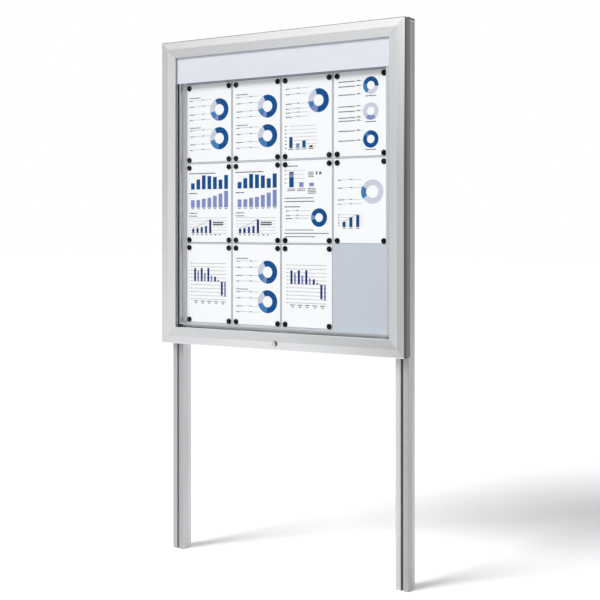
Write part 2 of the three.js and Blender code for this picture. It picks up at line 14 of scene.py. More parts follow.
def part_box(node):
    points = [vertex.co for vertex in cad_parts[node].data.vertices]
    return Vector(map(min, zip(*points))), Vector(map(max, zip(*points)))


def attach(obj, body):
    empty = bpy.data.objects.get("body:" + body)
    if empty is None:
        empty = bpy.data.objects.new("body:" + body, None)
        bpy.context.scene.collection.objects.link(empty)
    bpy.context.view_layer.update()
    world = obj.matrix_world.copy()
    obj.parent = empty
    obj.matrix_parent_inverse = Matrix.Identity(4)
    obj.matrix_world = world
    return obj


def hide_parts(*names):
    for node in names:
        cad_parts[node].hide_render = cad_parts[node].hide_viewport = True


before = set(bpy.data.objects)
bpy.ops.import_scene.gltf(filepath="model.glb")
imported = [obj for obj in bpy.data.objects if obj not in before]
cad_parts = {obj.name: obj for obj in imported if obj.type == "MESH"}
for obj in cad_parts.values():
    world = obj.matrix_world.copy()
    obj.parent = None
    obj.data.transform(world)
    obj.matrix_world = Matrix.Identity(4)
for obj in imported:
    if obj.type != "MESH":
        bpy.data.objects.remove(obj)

LOG = logging.getLogger("notice_board")
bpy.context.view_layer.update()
DOOR_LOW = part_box("door_left_stile")[0]
DOOR_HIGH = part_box("door_right_stile")[1]
MM = 0.001

Socket = bpy.types.NodeSocket
Mesh = bmesh.types.BMesh
Face = bmesh.types.BMFace
Rgba = tuple[float, float, float, float]
FaceChooser = Callable[[Face], int]
BACK = Vector((0, 1, 0))
CREASE = math.radians(40.0)
BLUE_LEAN = 3.0
WORD_LENGTHS = (9.0, 5.5, 12.0, 7.0, 4.5, 10.0)
# Values between which a noise mostly lies.
NOISE_LOW, NOISE_HIGH = 0.3, 0.7
# Parts of a normal: past the first a face looks that way, under the second it doesn't.
FACING, NO_LEAN = 0.9, 0.01
# Fold under which facets merge, and distances in metres that count as none.
FLAT_FOLD = math.radians(0.5)
CAD_WELD, PLANE_GAP, TURN_WELD = 2e-6, 1e-6, 1e-7


class Body(Enum):
    """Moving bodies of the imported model."""

    STAND = "stand"
    DOOR = "door"
    LOCK = "lock"
    CYLINDER_LEFT = "cylinder_left"
    ROD_LEFT = "rod_left"
    CYLINDER_RIGHT = "cylinder_right"
    ROD_RIGHT = "rod_right"


class Slot(Enum):
    """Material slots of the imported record."""

    POSTS = "posts"
    CAPS = "caps"
    STEEL = "steel"
    FRAMES = "frames"
    CASTINGS = "castings"
    PANEL = "panel"
    SEALS = "seals"
    SHEETS = "sheets"
    GLASS = "glass"
    HEADER = "header"
    LOCK = "lock"
    STRUT_TUBES = "strut_tubes"
    STRUT_RODS = "strut_rods"


class Grain(Enum):
    """Direction in which a profile was extruded or a piece was drawn."""

    ACROSS = (1, 0, 0)
    DEPTH = (0, 1, 0)
    UPRIGHT = (0, 0, 1)

    def stretch(self, along: float, across: float) -> Vector:
        """Returns texture scales per metre, one along the grain and one square to it."""
        return Vector([along if part else across for part in self.value])


@dataclass(frozen=True)
class Tone:
    """A colour in display numbers from 0 to 255."""

    red: float
    green: float
    blue: float

    def linear(self, gain: float = 1.0) -> Rgba:
        """Returns the colour as a shader takes it.

        Args:
            gain: Brightness multiplier.

        Returns:
            Linear red, green, blue and an opaque alpha.
        """
        parts = []
        for number in (self.red, self.green, self.blue):
            share = number / 255
            plain = share / 12.92 if share <= 0.04045 else ((share + 0.055) / 1.055) ** 2.4
            parts.append(min(plain * gain, 1.0))
        return (parts[0], parts[1], parts[2], 1.0)


@dataclass(frozen=True)
class Course:
    """Tones that follow each other between two places of one axis, in metres, evenly or at given shares; they paint
    light and shade along a part.
    """

    tones: tuple[Tone, ...]
    start: float
    stop: float
    axis: str = "X"
    shares: tuple[float, ...] = ()

    def stops(self) -> list[tuple[float, Rgba]]:
        """Returns pairs of share and linear colour.

        Returns:
            The pairs in order.
        """
        last = len(self.tones) - 1
        shares = self.shares or tuple(turn / last for turn in range(last + 1))
        return [(share, tone.linear()) for share, tone in zip(shares, self.tones)]


def even(scale: float) -> Vector:
    """Returns one texture scale per metre for all three axes."""
    return Vector((scale, scale, scale))


class Wiring:
    """A node tree, with short ways to add, join and mix nodes."""

    def __init__(self, tree: bpy.types.NodeTree, output: str) -> None:
        """Empties a tree and gives it an output node.

        Args:
            tree: Tree of a material or world.
            output: Blender's type name of the output node.
        """
        self.tree = tree
        tree.nodes.clear()
        self.surface = self.add(output).inputs["Surface"]

    def add(self, kind: str, **settings: object) -> bpy.types.Node:
        """Adds a node and sets its properties.

        Args:
            kind: Blender's type name of the node.
            **settings: Properties by name.

        Returns:
            The new node.
        """
        node = self.tree.nodes.new(kind)
        for key, value in settings.items():
            setattr(node, key, value)
        return node

    def join(self, source: Socket, target: Socket) -> None:
        """Links an output socket to an input socket."""
        self.tree.links.new(source, target)

    def choose(self, factor: Socket, first: Optional[Socket], second: Socket) -> Socket:
        """Returns a shader that is the first one, or none, at a factor of 0 and the second at 1.

        Args:
            factor: Share of the second shader.
            first: Shader at a factor of 0.
            second: Shader at a factor of 1.

        Returns:
            The mixed shader.
        """
        mix = self.add("ShaderNodeMixShader")
        for source, target in zip((factor, first, second), mix.inputs):
            if source is not None:
                self.join(source, target)
        return mix.outputs["Shader"]

    def seen(self) -> Socket:
        """Returns 1 for rays that show the background to the eye, to gloss and through glass.

        Returns:
            The factor, 0 or 1.
        """
        rays = self.add("ShaderNodeLightPath")
        total = rays.outputs["Is Camera Ray"]
        for name in ("Is Glossy Ray", "Is Transmission Ray"):
            both = self.add("ShaderNodeMath", operation="MAXIMUM")
            self.join(total, both.inputs[0])
            self.join(rays.outputs[name], both.inputs[1])
            total = both.outputs["Value"]
        return total


class Recipe(Wiring):
    """A material's node tree round a Principled shader."""

    def __init__(self, name: str) -> None:
        """Makes a material of a given name with the shader wired to its output.

        Args:
            name: Name of the material.
        """
        self.material = bpy.data.materials.new(name)
        self.material.use_nodes = True
        super().__init__(self.material.node_tree, "ShaderNodeOutputMaterial")
        self.shader = self.add("ShaderNodeBsdfPrincipled")
        self.join(self.shader.outputs["BSDF"], self.surface)

    def set(self, **values: object) -> None:
        """Sets the shader's own sockets, with underscores for the blanks in their names."""
        for key, value in values.items():
            self.shader.inputs[key.replace("_", " ")].default_value = value

    def coordinates(self, scale: Vector) -> Socket:
        """Returns object coordinates scaled per axis.

        Args:
            scale: Repeats per metre along each axis.

        Returns:
            The Mapping node's vector output.
        """
        place = self.add("ShaderNodeTexCoord")
        mapping = self.add("ShaderNodeMapping")
        mapping.inputs["Scale"].default_value = scale
        self.join(place.outputs["Object"], mapping.inputs["Vector"])
        return mapping.outputs["Vector"]

    def noise(self, scale: Vector, detail: float = 2.0, rough: float = 0.5) -> Socket:
        """Returns a noise pattern.

        Args:
            scale: Repeats per metre along each axis.
            detail: Octaves of the noise.
            rough: Share that each finer octave keeps.

        Returns:
            The noise factor.
        """
        texture = self.add("ShaderNodeTexNoise")
        texture.inputs["Scale"].default_value = 1.0
        texture.inputs["Detail"].default_value = detail
        texture.inputs["Roughness"].default_value = rough
        self.join(self.coordinates(scale), texture.inputs["Vector"])
        return texture.outputs["Fac"]

    def grains(self, scale: float) -> Socket:
        """Returns a pattern of small cells, each with its own value.

        Args:
            scale: Cells per metre.

        Returns:
            A value between 0 and 1 per cell.
        """
        texture = self.add("ShaderNodeTexVoronoi")
        texture.inputs["Scale"].default_value = 1.0
        self.join(self.coordinates(even(scale)), texture.inputs["Vector"])
        split = self.add("ShaderNodeSeparateColor")
        self.join(texture.outputs["Color"], split.inputs["Color"])
        return split.outputs["Red"]

    def blend(self, first: Socket, second: Socket, share: float) -> Socket:
        """Returns a fixed mix of two values.

        Args:
            first: Value at a share of 0.
            second: Value at a share of 1.
            share: How much of the second is in the mix.

        Returns:
            The mixed value.
        """
        mix = self.add("ShaderNodeMix", data_type="FLOAT")
        mix.inputs["Factor"].default_value = share
        self.join(first, mix.inputs["A"])
        self.join(second, mix.inputs["B"])
        return mix.outputs["Result"]

    def ramp(self, source: Socket, stops: Sequence[tuple[float, Rgba]]) -> Socket:
        """Returns a colour looked up from a value.

        Args:
            source: Value between 0 and 1.
            stops: Pairs of position and linear colour.

        Returns:
            The colour.
        """
        node = self.add("ShaderNodeValToRGB")
        ramp = node.color_ramp
        ramp.elements[0].position, ramp.elements[0].color = stops[0]
        ramp.elements[1].position, ramp.elements[1].color = stops[-1]
        for position, colour in stops[1:-1]:
            ramp.elements.new(position).color = colour
        self.join(source, node.inputs["Fac"])
        return node.outputs["Color"]

    def spread(
        self, source: Socket, low: float, high: float, start: float = NOISE_LOW, stop: float = NOISE_HIGH
    ) -> Socket:
        """Returns a value stretched from one range, or the one where a noise mostly lies, to another.

        Args:
            source: Value to stretch.
            low: Result at the start.
            high: Result at the stop.
            start: Value that gives the first result.
            stop: Value that gives the last result.

        Returns:
            The stretched value.
        """
        node = self.add("ShaderNodeMapRange")
        for key, value in (("From Min", start), ("From Max", stop), ("To Min", low), ("To Max", high)):
            node.inputs[key].default_value = value
        self.join(source, node.inputs["Value"])
        return node.outputs["Result"]

    def bump(self, height: Socket, strength: float, depth: float) -> None:
        """Raises the surface by a pattern.

        Args:
            height: Pattern between 0 and 1.
            strength: Strength of the effect.
            depth: Height of the pattern in metres.
        """
        node = self.add("ShaderNodeBump")
        node.inputs["Strength"].default_value = strength
        node.inputs["Distance"].default_value = depth
        self.join(height, node.inputs["Height"])
        self.join(node.outputs["Normal"], self.shader.inputs["Normal"])

    def tint(self, source: Socket, tone: Tone, swing: float) -> None:
        """Colours the shader with a tone that swings by a share to either side with a pattern."""
        stops = [(NOISE_LOW, tone.linear(1 - swing)), (0.5, tone.linear()), (NOISE_HIGH, tone.linear(1 + swing))]
        self.join(self.ramp(source, stops), self.shader.inputs["Base Color"])

    def tint_with_painted_light(self, source: Socket, tone: Tone, swing: float, course: Optional[Course]) -> None:
        """Colours the shader with tones of painted light and shade that follow each other along an axis, and swing
        with a pattern.

        Args:
            source: Pattern between 0 and 1.
            tone: Colour where there is no course.
            swing: Share by which the colour moves to either side.
            course: Tones of painted light and shade, and where they lie.
        """
        course = course or Course((tone, tone), -1.0, 1.0)
        place = self.add("ShaderNodeTexCoord")
        split = self.add("ShaderNodeSeparateXYZ")
        self.join(place.outputs["Object"], split.inputs["Vector"])
        share = self.spread(split.outputs[course.axis], 0.0, 1.0, course.start, course.stop)
        gain = self.add("ShaderNodeVectorMath", operation="SCALE")
        self.join(self.ramp(share, course.stops()), gain.inputs["Vector"])
        self.join(self.spread(source, 1 - swing, 1 + swing), gain.inputs["Scale"])
        self.join(gain.outputs["Vector"], self.shader.inputs["Base Color"])

    def matt(self, source: Socket, low: float, high: float) -> None:
        """Lets the roughness swing with a pattern between two values."""
        self.join(self.spread(source, low, high), self.shader.inputs["Roughness"])

    def skin(
        self,
        fine: Socket,
        slow: Socket,
        mix: float,
        tone: Tone,
        swing: float,
        rough: tuple[float, float],
        relief: tuple[float, float],
    ) -> None:
        """Colours, roughens and raises the surface by a fine pattern and a slow one.

        Args:
            fine: Pattern that raises the surface.
            slow: Pattern that the roughness follows.
            mix: How much of the slow pattern is in the colour.
            tone: Mean colour.
            swing: Share by which the colour moves to either side.
            rough: Lowest and highest roughness.
            relief: Strength of the relief, and its height in metres.
        """
        self.tint(self.blend(fine, slow, mix), tone, swing)
        self.matt(slow, *rough)
        self.bump(fine, *relief)


@dataclass(frozen=True)
class Finish(ABC):
    """A surface finish that makes one Blender material."""

    name: str
    tone: Tone

    @abstractmethod
    def wire(self, recipe: Recipe) -> None:
        """Adds this finish's nodes to an empty recipe."""

    def material(self) -> bpy.types.Material:
        """Returns the finish's material, made on first use.

        Returns:
            The material.
        """
        found = bpy.data.materials.get(self.name)
        if found is None:
            recipe = Recipe(self.name)
            self.wire(recipe)
            found = recipe.material
        return found


@dataclass(frozen=True)
class Anodised(Finish):
    """Satin anodised extrusion with die lines along its length, a soft cloudy swing of tone, and painted light and
    shade along its course where one is given.
    """

    grain: Grain = Grain.UPRIGHT
    course: Optional[Course] = None
    metallic: float = 0.45
    rough: tuple[float, float] = (0.34, 0.46)
    swing: float = 0.04

    def wire(self, recipe: Recipe) -> None:
        """Draws fine die lines, wider bands and clouds over the course's painted light and shade.

        Args:
            recipe: Node tree to fill.
        """
        lines = recipe.noise(self.grain.stretch(3.0, 1400.0), rough=0.6)
        fine = recipe.blend(lines, recipe.noise(self.grain.stretch(0.8, 90.0)), 0.45)
        clouds = recipe.noise(self.grain.stretch(2.2, 5.0))
        recipe.tint_with_painted_light(recipe.blend(fine, clouds, 0.5), self.tone, self.swing, self.course)
        recipe.matt(fine, *self.rough)
        recipe.bump(fine, 0.12, 0.00012)
        recipe.set(Metallic=self.metallic)


@dataclass(frozen=True)
class Enamel(Finish):
    """Coil-coated sheet steel with a faint orange peel, and painted light along its course where one is given."""

    roughness: float = 0.36
    peel: float = 0.10
    course: Optional[Course] = None

    def wire(self, recipe: Recipe) -> None:
        """Draws the peel and a slow swing of tone over the course's painted light.

        Args:
            recipe: Node tree to fill.
        """
        peel, clouds = recipe.noise(even(420.0), rough=0.4), recipe.noise(Vector((2.4, 2.4, 1.6)))
        recipe.tint_with_painted_light(recipe.blend(peel, clouds, 0.8), self.tone, 0.03, self.course)
        recipe.matt(clouds, self.roughness - 0.04, self.roughness + 0.06)
        recipe.bump(peel, self.peel, 0.00008)


@dataclass(frozen=True)
class Rubber(Finish):
    """Extruded sealing rubber with a chalky skin."""

    swing: float = 0.35

    def wire(self, recipe: Recipe) -> None:
        """Draws dust and fine pores."""
        pores, dust = recipe.noise(even(900.0)), recipe.noise(even(40.0), 4.0, 0.6)
        recipe.skin(pores, dust, 0.6, self.tone, self.swing, (0.62, 0.85), (0.25, 0.0001))


@dataclass(frozen=True)
class Moulded(Finish):
    """Moulded plastic with a spark-eroded texture."""

    texture: float = 0.2
    roughness: float = 0.5
    shine: float = 0.5

    def wire(self, recipe: Recipe) -> None:
        """Draws the mould's texture and a little drift.

        Args:
            recipe: Node tree to fill.
        """
        sparks, clouds = recipe.noise(even(1500.0), 1.0), recipe.noise(even(60.0), 3.0)
        rough = (self.roughness - 0.06, self.roughness + 0.06)
        recipe.skin(sparks, clouds, 0.7, self.tone, 0.08, rough, (self.texture, 0.00006))
        recipe.set(Specular_IOR_Level=self.shine)


@dataclass(frozen=True)
class Plated(Finish):
    """Plated steel: bright or satin, with fine grains of the plating and faint stains."""

    rough: tuple[float, float] = (0.28, 0.42)
    swing: float = 0.12
    cells: float = 900.0

    def wire(self, recipe: Recipe) -> None:
        """Draws the grains and stains.

        Args:
            recipe: Node tree to fill.
        """
        stains = recipe.noise(even(70.0), 4.0, 0.6)
        recipe.skin(recipe.grains(self.cells), stains, 0.65, self.tone, self.swing, self.rough, (0.05, 0.00004))
        recipe.set(Metallic=1.0)


@dataclass(frozen=True)
class Polished(Finish):
    """Hard chrome, ground along one direction and polished."""

    grain: Grain = Grain.DEPTH

    def wire(self, recipe: Recipe) -> None:
        """Draws hair lines and wipe marks.

        Args:
            recipe: Node tree to fill.
        """
        lines, marks = recipe.noise(self.grain.stretch(30.0, 5200.0)), recipe.noise(even(110.0), 3.0, 0.6)
        recipe.skin(lines, marks, 0.5, self.tone, 0.05, (0.06, 0.16), (0.03, 0.00002))
        recipe.set(Metallic=1.0)


@dataclass(frozen=True)
class Painted(Finish):
    """Baked gloss paint over steel."""

    def wire(self, recipe: Recipe) -> None:
        """Draws the paint's flow and light scuffs.

        Args:
            recipe: Node tree to fill.
        """
        flow, scuffs = recipe.noise(even(240.0)), recipe.noise(Vector((160.0, 160.0, 14.0)), 5.0, 0.7)
        recipe.skin(flow, scuffs, 1.0, self.tone, 0.3, (0.25, 0.43), (0.08, 0.00006))
        recipe.set(Coat_Weight=0.4, Coat_Roughness=0.12)


@dataclass(frozen=True)
class Paper(Finish):
    """Uncoated office paper with fibres and cockle."""

    def wire(self, recipe: Recipe) -> None:
        """Draws fibres and a faint cockle.

        Args:
            recipe: Node tree to fill.
        """
        fibres = recipe.noise(Vector((1300.0, 1300.0, 380.0)), 4.0, 0.65)
        cockle = recipe.noise(Vector((22.0, 22.0, 16.0)), rough=0.4)
        recipe.tint(recipe.blend(fibres, cockle, 0.35), self.tone, 0.02)
        recipe.matt(fibres, 0.78, 0.92)
        recipe.bump(recipe.blend(fibres, cockle, 0.6), 0.10, 0.00025)


@dataclass(frozen=True)
class PrintInk(Finish):
    """Laser toner with uneven cover."""

    def wire(self, recipe: Recipe) -> None:
        """Draws banding and specks of the toner.

        Args:
            recipe: Node tree to fill.
        """
        specks, bands = recipe.noise(even(2600.0), rough=0.6), recipe.noise(Vector((9.0, 9.0, 240.0)))
        recipe.tint(recipe.blend(specks, bands, 0.5), self.tone, 0.09)
        recipe.matt(specks, 0.42, 0.62)
        recipe.bump(specks, 0.05, 0.00002)
        recipe.set(Specular_IOR_Level=0.05)


@dataclass(frozen=True)
class ClearPane(Finish):
    """Float glass that lets lamps and soft light through, with the ribbon's faint wave."""

    reflection: Tone = Tone(68, 68, 68)

    def wire(self, recipe: Recipe) -> None:
        """Joins glass for the eye with a clear pass for shadow and diffuse rays.

        Args:
            recipe: Node tree to fill.
        """
        recipe.set(Base_Color=self.tone.linear(), Roughness=0.0, IOR=1.45, Transmission_Weight=1.0)
        recipe.set(Specular_Tint=self.reflection.linear())
        recipe.bump(recipe.noise(Vector((2.5, 2.5, 9.0)), 1.0, 0.4), 0.02, 0.0004)
        rays = recipe.add("ShaderNodeLightPath")
        clear = recipe.add("ShaderNodeBsdfTransparent").outputs["BSDF"]
        soft = recipe.choose(rays.outputs["Is Diffuse Ray"], recipe.shader.outputs["BSDF"], clear)
        hard = recipe.choose(rays.outputs["Is Shadow Ray"], soft, clear)
        recipe.join(hard, recipe.surface)


def grey(level: float) -> Tone:
    """Returns a light grey with a slight lean to blue."""
    return Tone(level, level + BLUE_LEAN / 2, level + BLUE_LEAN)


# Courses of greys, below, paint light and shade along the door, the posts and the case.
def greys(levels: Iterable[float], start: float, stop: float, axis: str = "X") -> Course:
    """Returns greys that follow each other between two places of an axis."""
    return Course(tuple(map(grey, levels)), start, stop, axis)


def across(*levels: float) -> Course:
    """Returns greys that follow each other from the door's left edge to its right edge."""
    return greys(levels, DOOR_LOW.x, DOOR_HIGH.x)


def upwards(*levels: float, lead: float = 0.0) -> Course:
    """Returns greys that follow each other from the door's bottom edge, or a lead below it, to its top edge."""
    return greys(levels, DOOR_LOW.z - lead, DOOR_HIGH.z, "Z")


def inwards(*levels: float) -> Course:
    """Returns greys that follow each other from the door's front plane to its back."""
    return greys(levels, DOOR_LOW.y, DOOR_HIGH.y, "Y")


def backwards(*levels: float) -> Course:
    """Returns greys that follow each other from the posts' front faces to their backs."""
    low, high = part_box("post_left")
    return greys(levels, low.y, high.y, "Y")


def profile_finishes(name: str, grain: Grain, *courses: Course) -> tuple[Finish, ...]:
    """Returns one mitred door profile's finishes in the order of its material indices: lit and shaded copies of one
    anodised grey.

    Args:
        name: Name of the profile.
        grain: Direction of its extrusion.
        *courses: Tones of painted light and shade on its flat band, its bevel, its outer edge, and the arris between
                  band and edge.

    Returns:
        The finishes of these four places and of the lip, whose near-white grey is painted light.
    """
    places = zip(("band", "bevel", "edge", "arris", "lip"), (*courses, across(248, 248)))
    return tuple(Anodised(f"anodised_{name}_{place}", course.tones[0], grain, course) for place, course in places)


def post_finishes(
    name: str, slot: float, left: Sequence[float], right: Sequence[float], front: Course, rear: Course
) -> tuple[Finish, ...]:
    """Returns one post's finishes in the order of its material indices.

    Args:
        name: CAD node of the post.
        slot: Grey of the slot and the ends, painted light and shade.
        left: Greys of painted light and shade across the front to the left of the slot.
        right: Greys of painted light and shade across the front to the right of the slot.
        front: Tones of painted light and shade on the side in front of its line.
        rear: Tones of painted light and shade on the side behind its line.

    Returns:
        The five finishes.
    """
    low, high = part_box(name)
    middle = (low.x + high.x) / 2
    courses = {
        "slot": greys((slot, slot), low.x, high.x),
        "front_left": greys(left, low.x, middle),
        "front_right": greys(right, middle, high.x),
        "side_front": front,
        "side_rear": rear,
    }
    return tuple(
        Anodised(f"anodised_{name}_{place}", course.tones[0], Grain.UPRIGHT, course, swing=0.06)
        for place, course in courses.items()
    )


@dataclass(frozen=True)
class Palette:
    """Every finish of the board."""

    # Door profiles: each face's greys and their course along the profile are painted light and shade, with painted
    # highlights and dark lines on the arrises and painted shade on the right stile's outer edge.
    top: tuple[Finish, ...] = profile_finishes(
        "top", Grain.ACROSS, across(194, 206, 209), across(189, 200, 209), across(150, 150), across(92, 92)
    )
    bottom: tuple[Finish, ...] = profile_finishes(
        "bottom", Grain.ACROSS, across(205, 215, 212, 185), across(187, 180, 155), across(150, 150), across(240, 240)
    )
    left: tuple[Finish, ...] = profile_finishes(
        "left", Grain.UPRIGHT, upwards(208, 186, 176), upwards(210, 203, 186), upwards(200, 200), upwards(200, 200)
    )
    right: tuple[Finish, ...] = profile_finishes(
        "right",
        Grain.UPRIGHT,
        upwards(173, 171, 191),
        upwards(194, 185, 190),
        inwards(30, 64, 94, 104),
        upwards(92, 80, 82, 98, 176, 240),
    )
    # Posts: lit and shaded copies of one anodised grey; their tones and courses are painted light and shade.
    post_left: tuple[Finish, ...] = post_finishes(
        "post_left", 205, (182, 178), (176, 172), *[backwards(212, 218, 222, 228, 232, 214)] * 2
    )
    post_right: tuple[Finish, ...] = post_finishes(
        "post_right",
        172,
        (212, 207, 198, 190),
        (182, 176, 171, 166),
        upwards(192, 172, 158),
        upwards(214, 196, 174, 166, 160, 150, lead=0.35),
    )
    rail: Finish = Anodised("anodised_rail", grey(206), Grain.ACROSS)
    stile: Finish = Anodised("anodised_stile", grey(206))
    # Painted shade: dark copies of the anodising for the case's outer sides, which face away from the light.
    side_painted_shade_rail: Finish = Anodised("case_edge_painted_shade_rail", grey(110), Grain.ACROSS, swing=0.10)
    side_painted_shade_stile: Finish = Anodised("case_edge_painted_shade_stile", grey(110), swing=0.10)
    # Painted shade: the left case's web is dark, as shade deep in the channel.
    web_painted_shade: Finish = Anodised("case_web_painted_shade", grey(146))
    # Painted light: the left case's inward wall grows lighter towards the back panel, as if lit by the white sheets.
    wall_painted_light: Finish = Anodised(
        "case_wall_painted_light",
        grey(228),
        course=greys((204, 200, 222, 255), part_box("case_left")[0].y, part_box("back_panel")[0].y, "Y"),
        metallic=0.7,
        rough=(0.22, 0.32),
    )
    # Painted light: near-white copies for faces in shade, the case's outward walls and the glazing beads.
    painted_light_rail: Finish = Anodised("painted_light_rail", grey(250), Grain.ACROSS)
    painted_light_stile: Finish = Anodised("painted_light_stile", grey(250))
    # The caps' plastic in two copies: a pale body and a dark top band, which is painted shade.
    cap: Finish = Moulded("grey_cap", Tone(232, 234, 236), roughness=0.45)
    cap_top_painted_shade: Finish = Moulded("grey_cap_top", Tone(52, 54, 57))
    # Painted light: the back panel is near white along its left edge, where the case wall shades it.
    panel: Finish = Enamel(
        "magnetic_panel",
        Tone(194, 202, 211),
        course=Course(
            (Tone(252, 253, 255), Tone(252, 253, 255), Tone(194, 202, 211), Tone(194, 202, 211)),
            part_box("back_panel")[0].x,
            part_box("back_panel")[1].x,
            shares=(0.0, 0.022, 0.026, 1.0),
        ),
    )
    header: Finish = Enamel("header_enamel", Tone(223, 227, 235), 0.3, 0.06)
    pane: Finish = ClearPane("clear_pane", Tone(252, 253, 254))
    rubber: Finish = Rubber("gasket_rubber", Tone(46, 47, 50))
    pale_rubber: Finish = Rubber("seal_rubber", Tone(192, 193, 195), 0.06)
    zinc: Finish = Plated("zinc_plate", Tone(188, 190, 192))
    hinge: Finish = Plated("hinge_plate", Tone(146, 148, 151), (0.48, 0.62))
    casting: Finish = Plated("cast_zinc", Tone(158, 160, 163), (0.42, 0.6), 0.16, 380.0)
    chrome: Finish = Polished("lock_chrome", Tone(214, 216, 220))
    rod: Finish = Polished("rod_chrome", Tone(206, 208, 212), Grain.UPRIGHT)
    tube: Finish = Painted("strut_paint", Tone(28, 29, 31))
    magnet: Finish = Moulded("magnet_skin", Tone(8, 8, 9), 0.12, shine=0.05)
    paper: Finish = Paper("office_paper", Tone(252, 253, 254))


PALETTE = Palette()


class InkTone(Enum):
    """Inks of the printed charts, each with the index of its material."""

    NAVY = 0
    BLUE = 1
    SKY = 2
    LILAC = 3
    PALE = 4
    GREY = 5
    FAINT = 6


NAVY, BLUE, SKY, LILAC, PALE, GREY, FAINT = InkTone
INK_COLOURS = (
    (24, 40, 112), (0, 77, 141), (62, 126, 184), (130, 144, 194), (208, 210, 224), (40, 40, 44), (92, 94, 98)
)
INKS: list[Finish] = [PrintInk(f"ink_{ink.name.lower()}", Tone(*INK_COLOURS[ink.value])) for ink in InkTone]


def is_mitre(face: Face) -> bool:
    """Returns True for a cut end that faces halfway between level and upright."""
    return abs(face.normal.y) < NO_LEAN and abs(abs(face.normal.x) - abs(face.normal.z)) < NO_LEAN


def round_edges(bm: Mesh, radius: float, segments: int) -> None:
    """Rounds every crease of a mesh but those of its mitred ends.

    Args:
        bm: Mesh to round.
        radius: Width of the rounding in millimetres.
        segments: Facets across each rounding.
    """
    creases = [
        edge
        for edge in bm.edges
        if len(edge.link_faces) == 2 and edge.calc_face_angle() > CREASE and not any(map(is_mitre, edge.link_faces))
    ]
    bmesh.ops.bevel(
        bm,
        geom=creases,
        offset=radius * MM,
        offset_type="OFFSET",
        segments=segments,
        profile=0.5,
        affect="EDGES",
        clamp_overlap=True,
        material=-1,
    )


def add_block(bm: Mesh, place: Matrix, index: int = 0) -> None:
    """Adds a unit cube placed and sized by a matrix, with a material index.

    Args:
        bm: Mesh that takes the cube.
        place: Matrix that places and sizes it.
        index: Its material index.
    """
    made = bmesh.ops.create_cube(bm, size=1.0, matrix=place)
    for face in {face for vert in made["verts"] for face in vert.link_faces}:
        face.material_index = index


def add_box(bm: Mesh, low: Vector, high: Vector, index: int = 0) -> None:
    """Adds a box between its lowest and highest corner in metres, with a material index."""
    add_block(bm, Matrix.Translation((low + high) / 2) @ Matrix.Diagonal((*(high - low), 1.0)), index)


def thicken(bm: Mesh, faces: Sequence[Face], depth: float) -> None:
    """Gives flat faces a thickness in millimetres towards the back.

    Args:
        bm: Mesh that holds the faces.
        faces: Faces to thicken.
        depth: Thickness in millimetres.
    """
    raised = bmesh.ops.extrude_face_region(bm, geom=faces, use_keep_orig=True)
    moved = [item for item in raised["geom"] if isinstance(item, bmesh.types.BMVert)]
    bmesh.ops.translate(bm, verts=moved, vec=Vector((0, depth * MM, 0)))


def add_turned(bm: Mesh, profile: Sequence[tuple[float, float]], centre: Vector, axis: Vector, steps: int) -> None:
    """Adds a shape turned about an axis.

    Args:
        bm: Mesh that takes the shape.
        profile: Points of radius and height along the axis, in millimetres.
        centre: Point of the axis at a height of 0.
        axis: Unit vector along the axis.
        steps: Facets round the axis.
    """
    side = axis.orthogonal().normalized()
    before = set(bm.faces)
    verts = [bm.verts.new(centre + side * (radius * MM) + axis * (height * MM)) for radius, height in profile]
    edges = [bm.edges.new(pair) for pair in zip(verts, verts[1:])]
    bmesh.ops.spin(
        bm,
        geom=verts + edges,
        cent=centre,
        axis=axis,
        angle=math.tau,
        steps=steps,
        use_merge=True,
        use_normal_flip=False,
        use_duplicate=False,
    )
    bmesh.ops.remove_doubles(bm, verts=list(bm.verts), dist=TURN_WELD)
    bmesh.ops.recalc_face_normals(bm, faces=[face for face in bm.faces if face not in before])


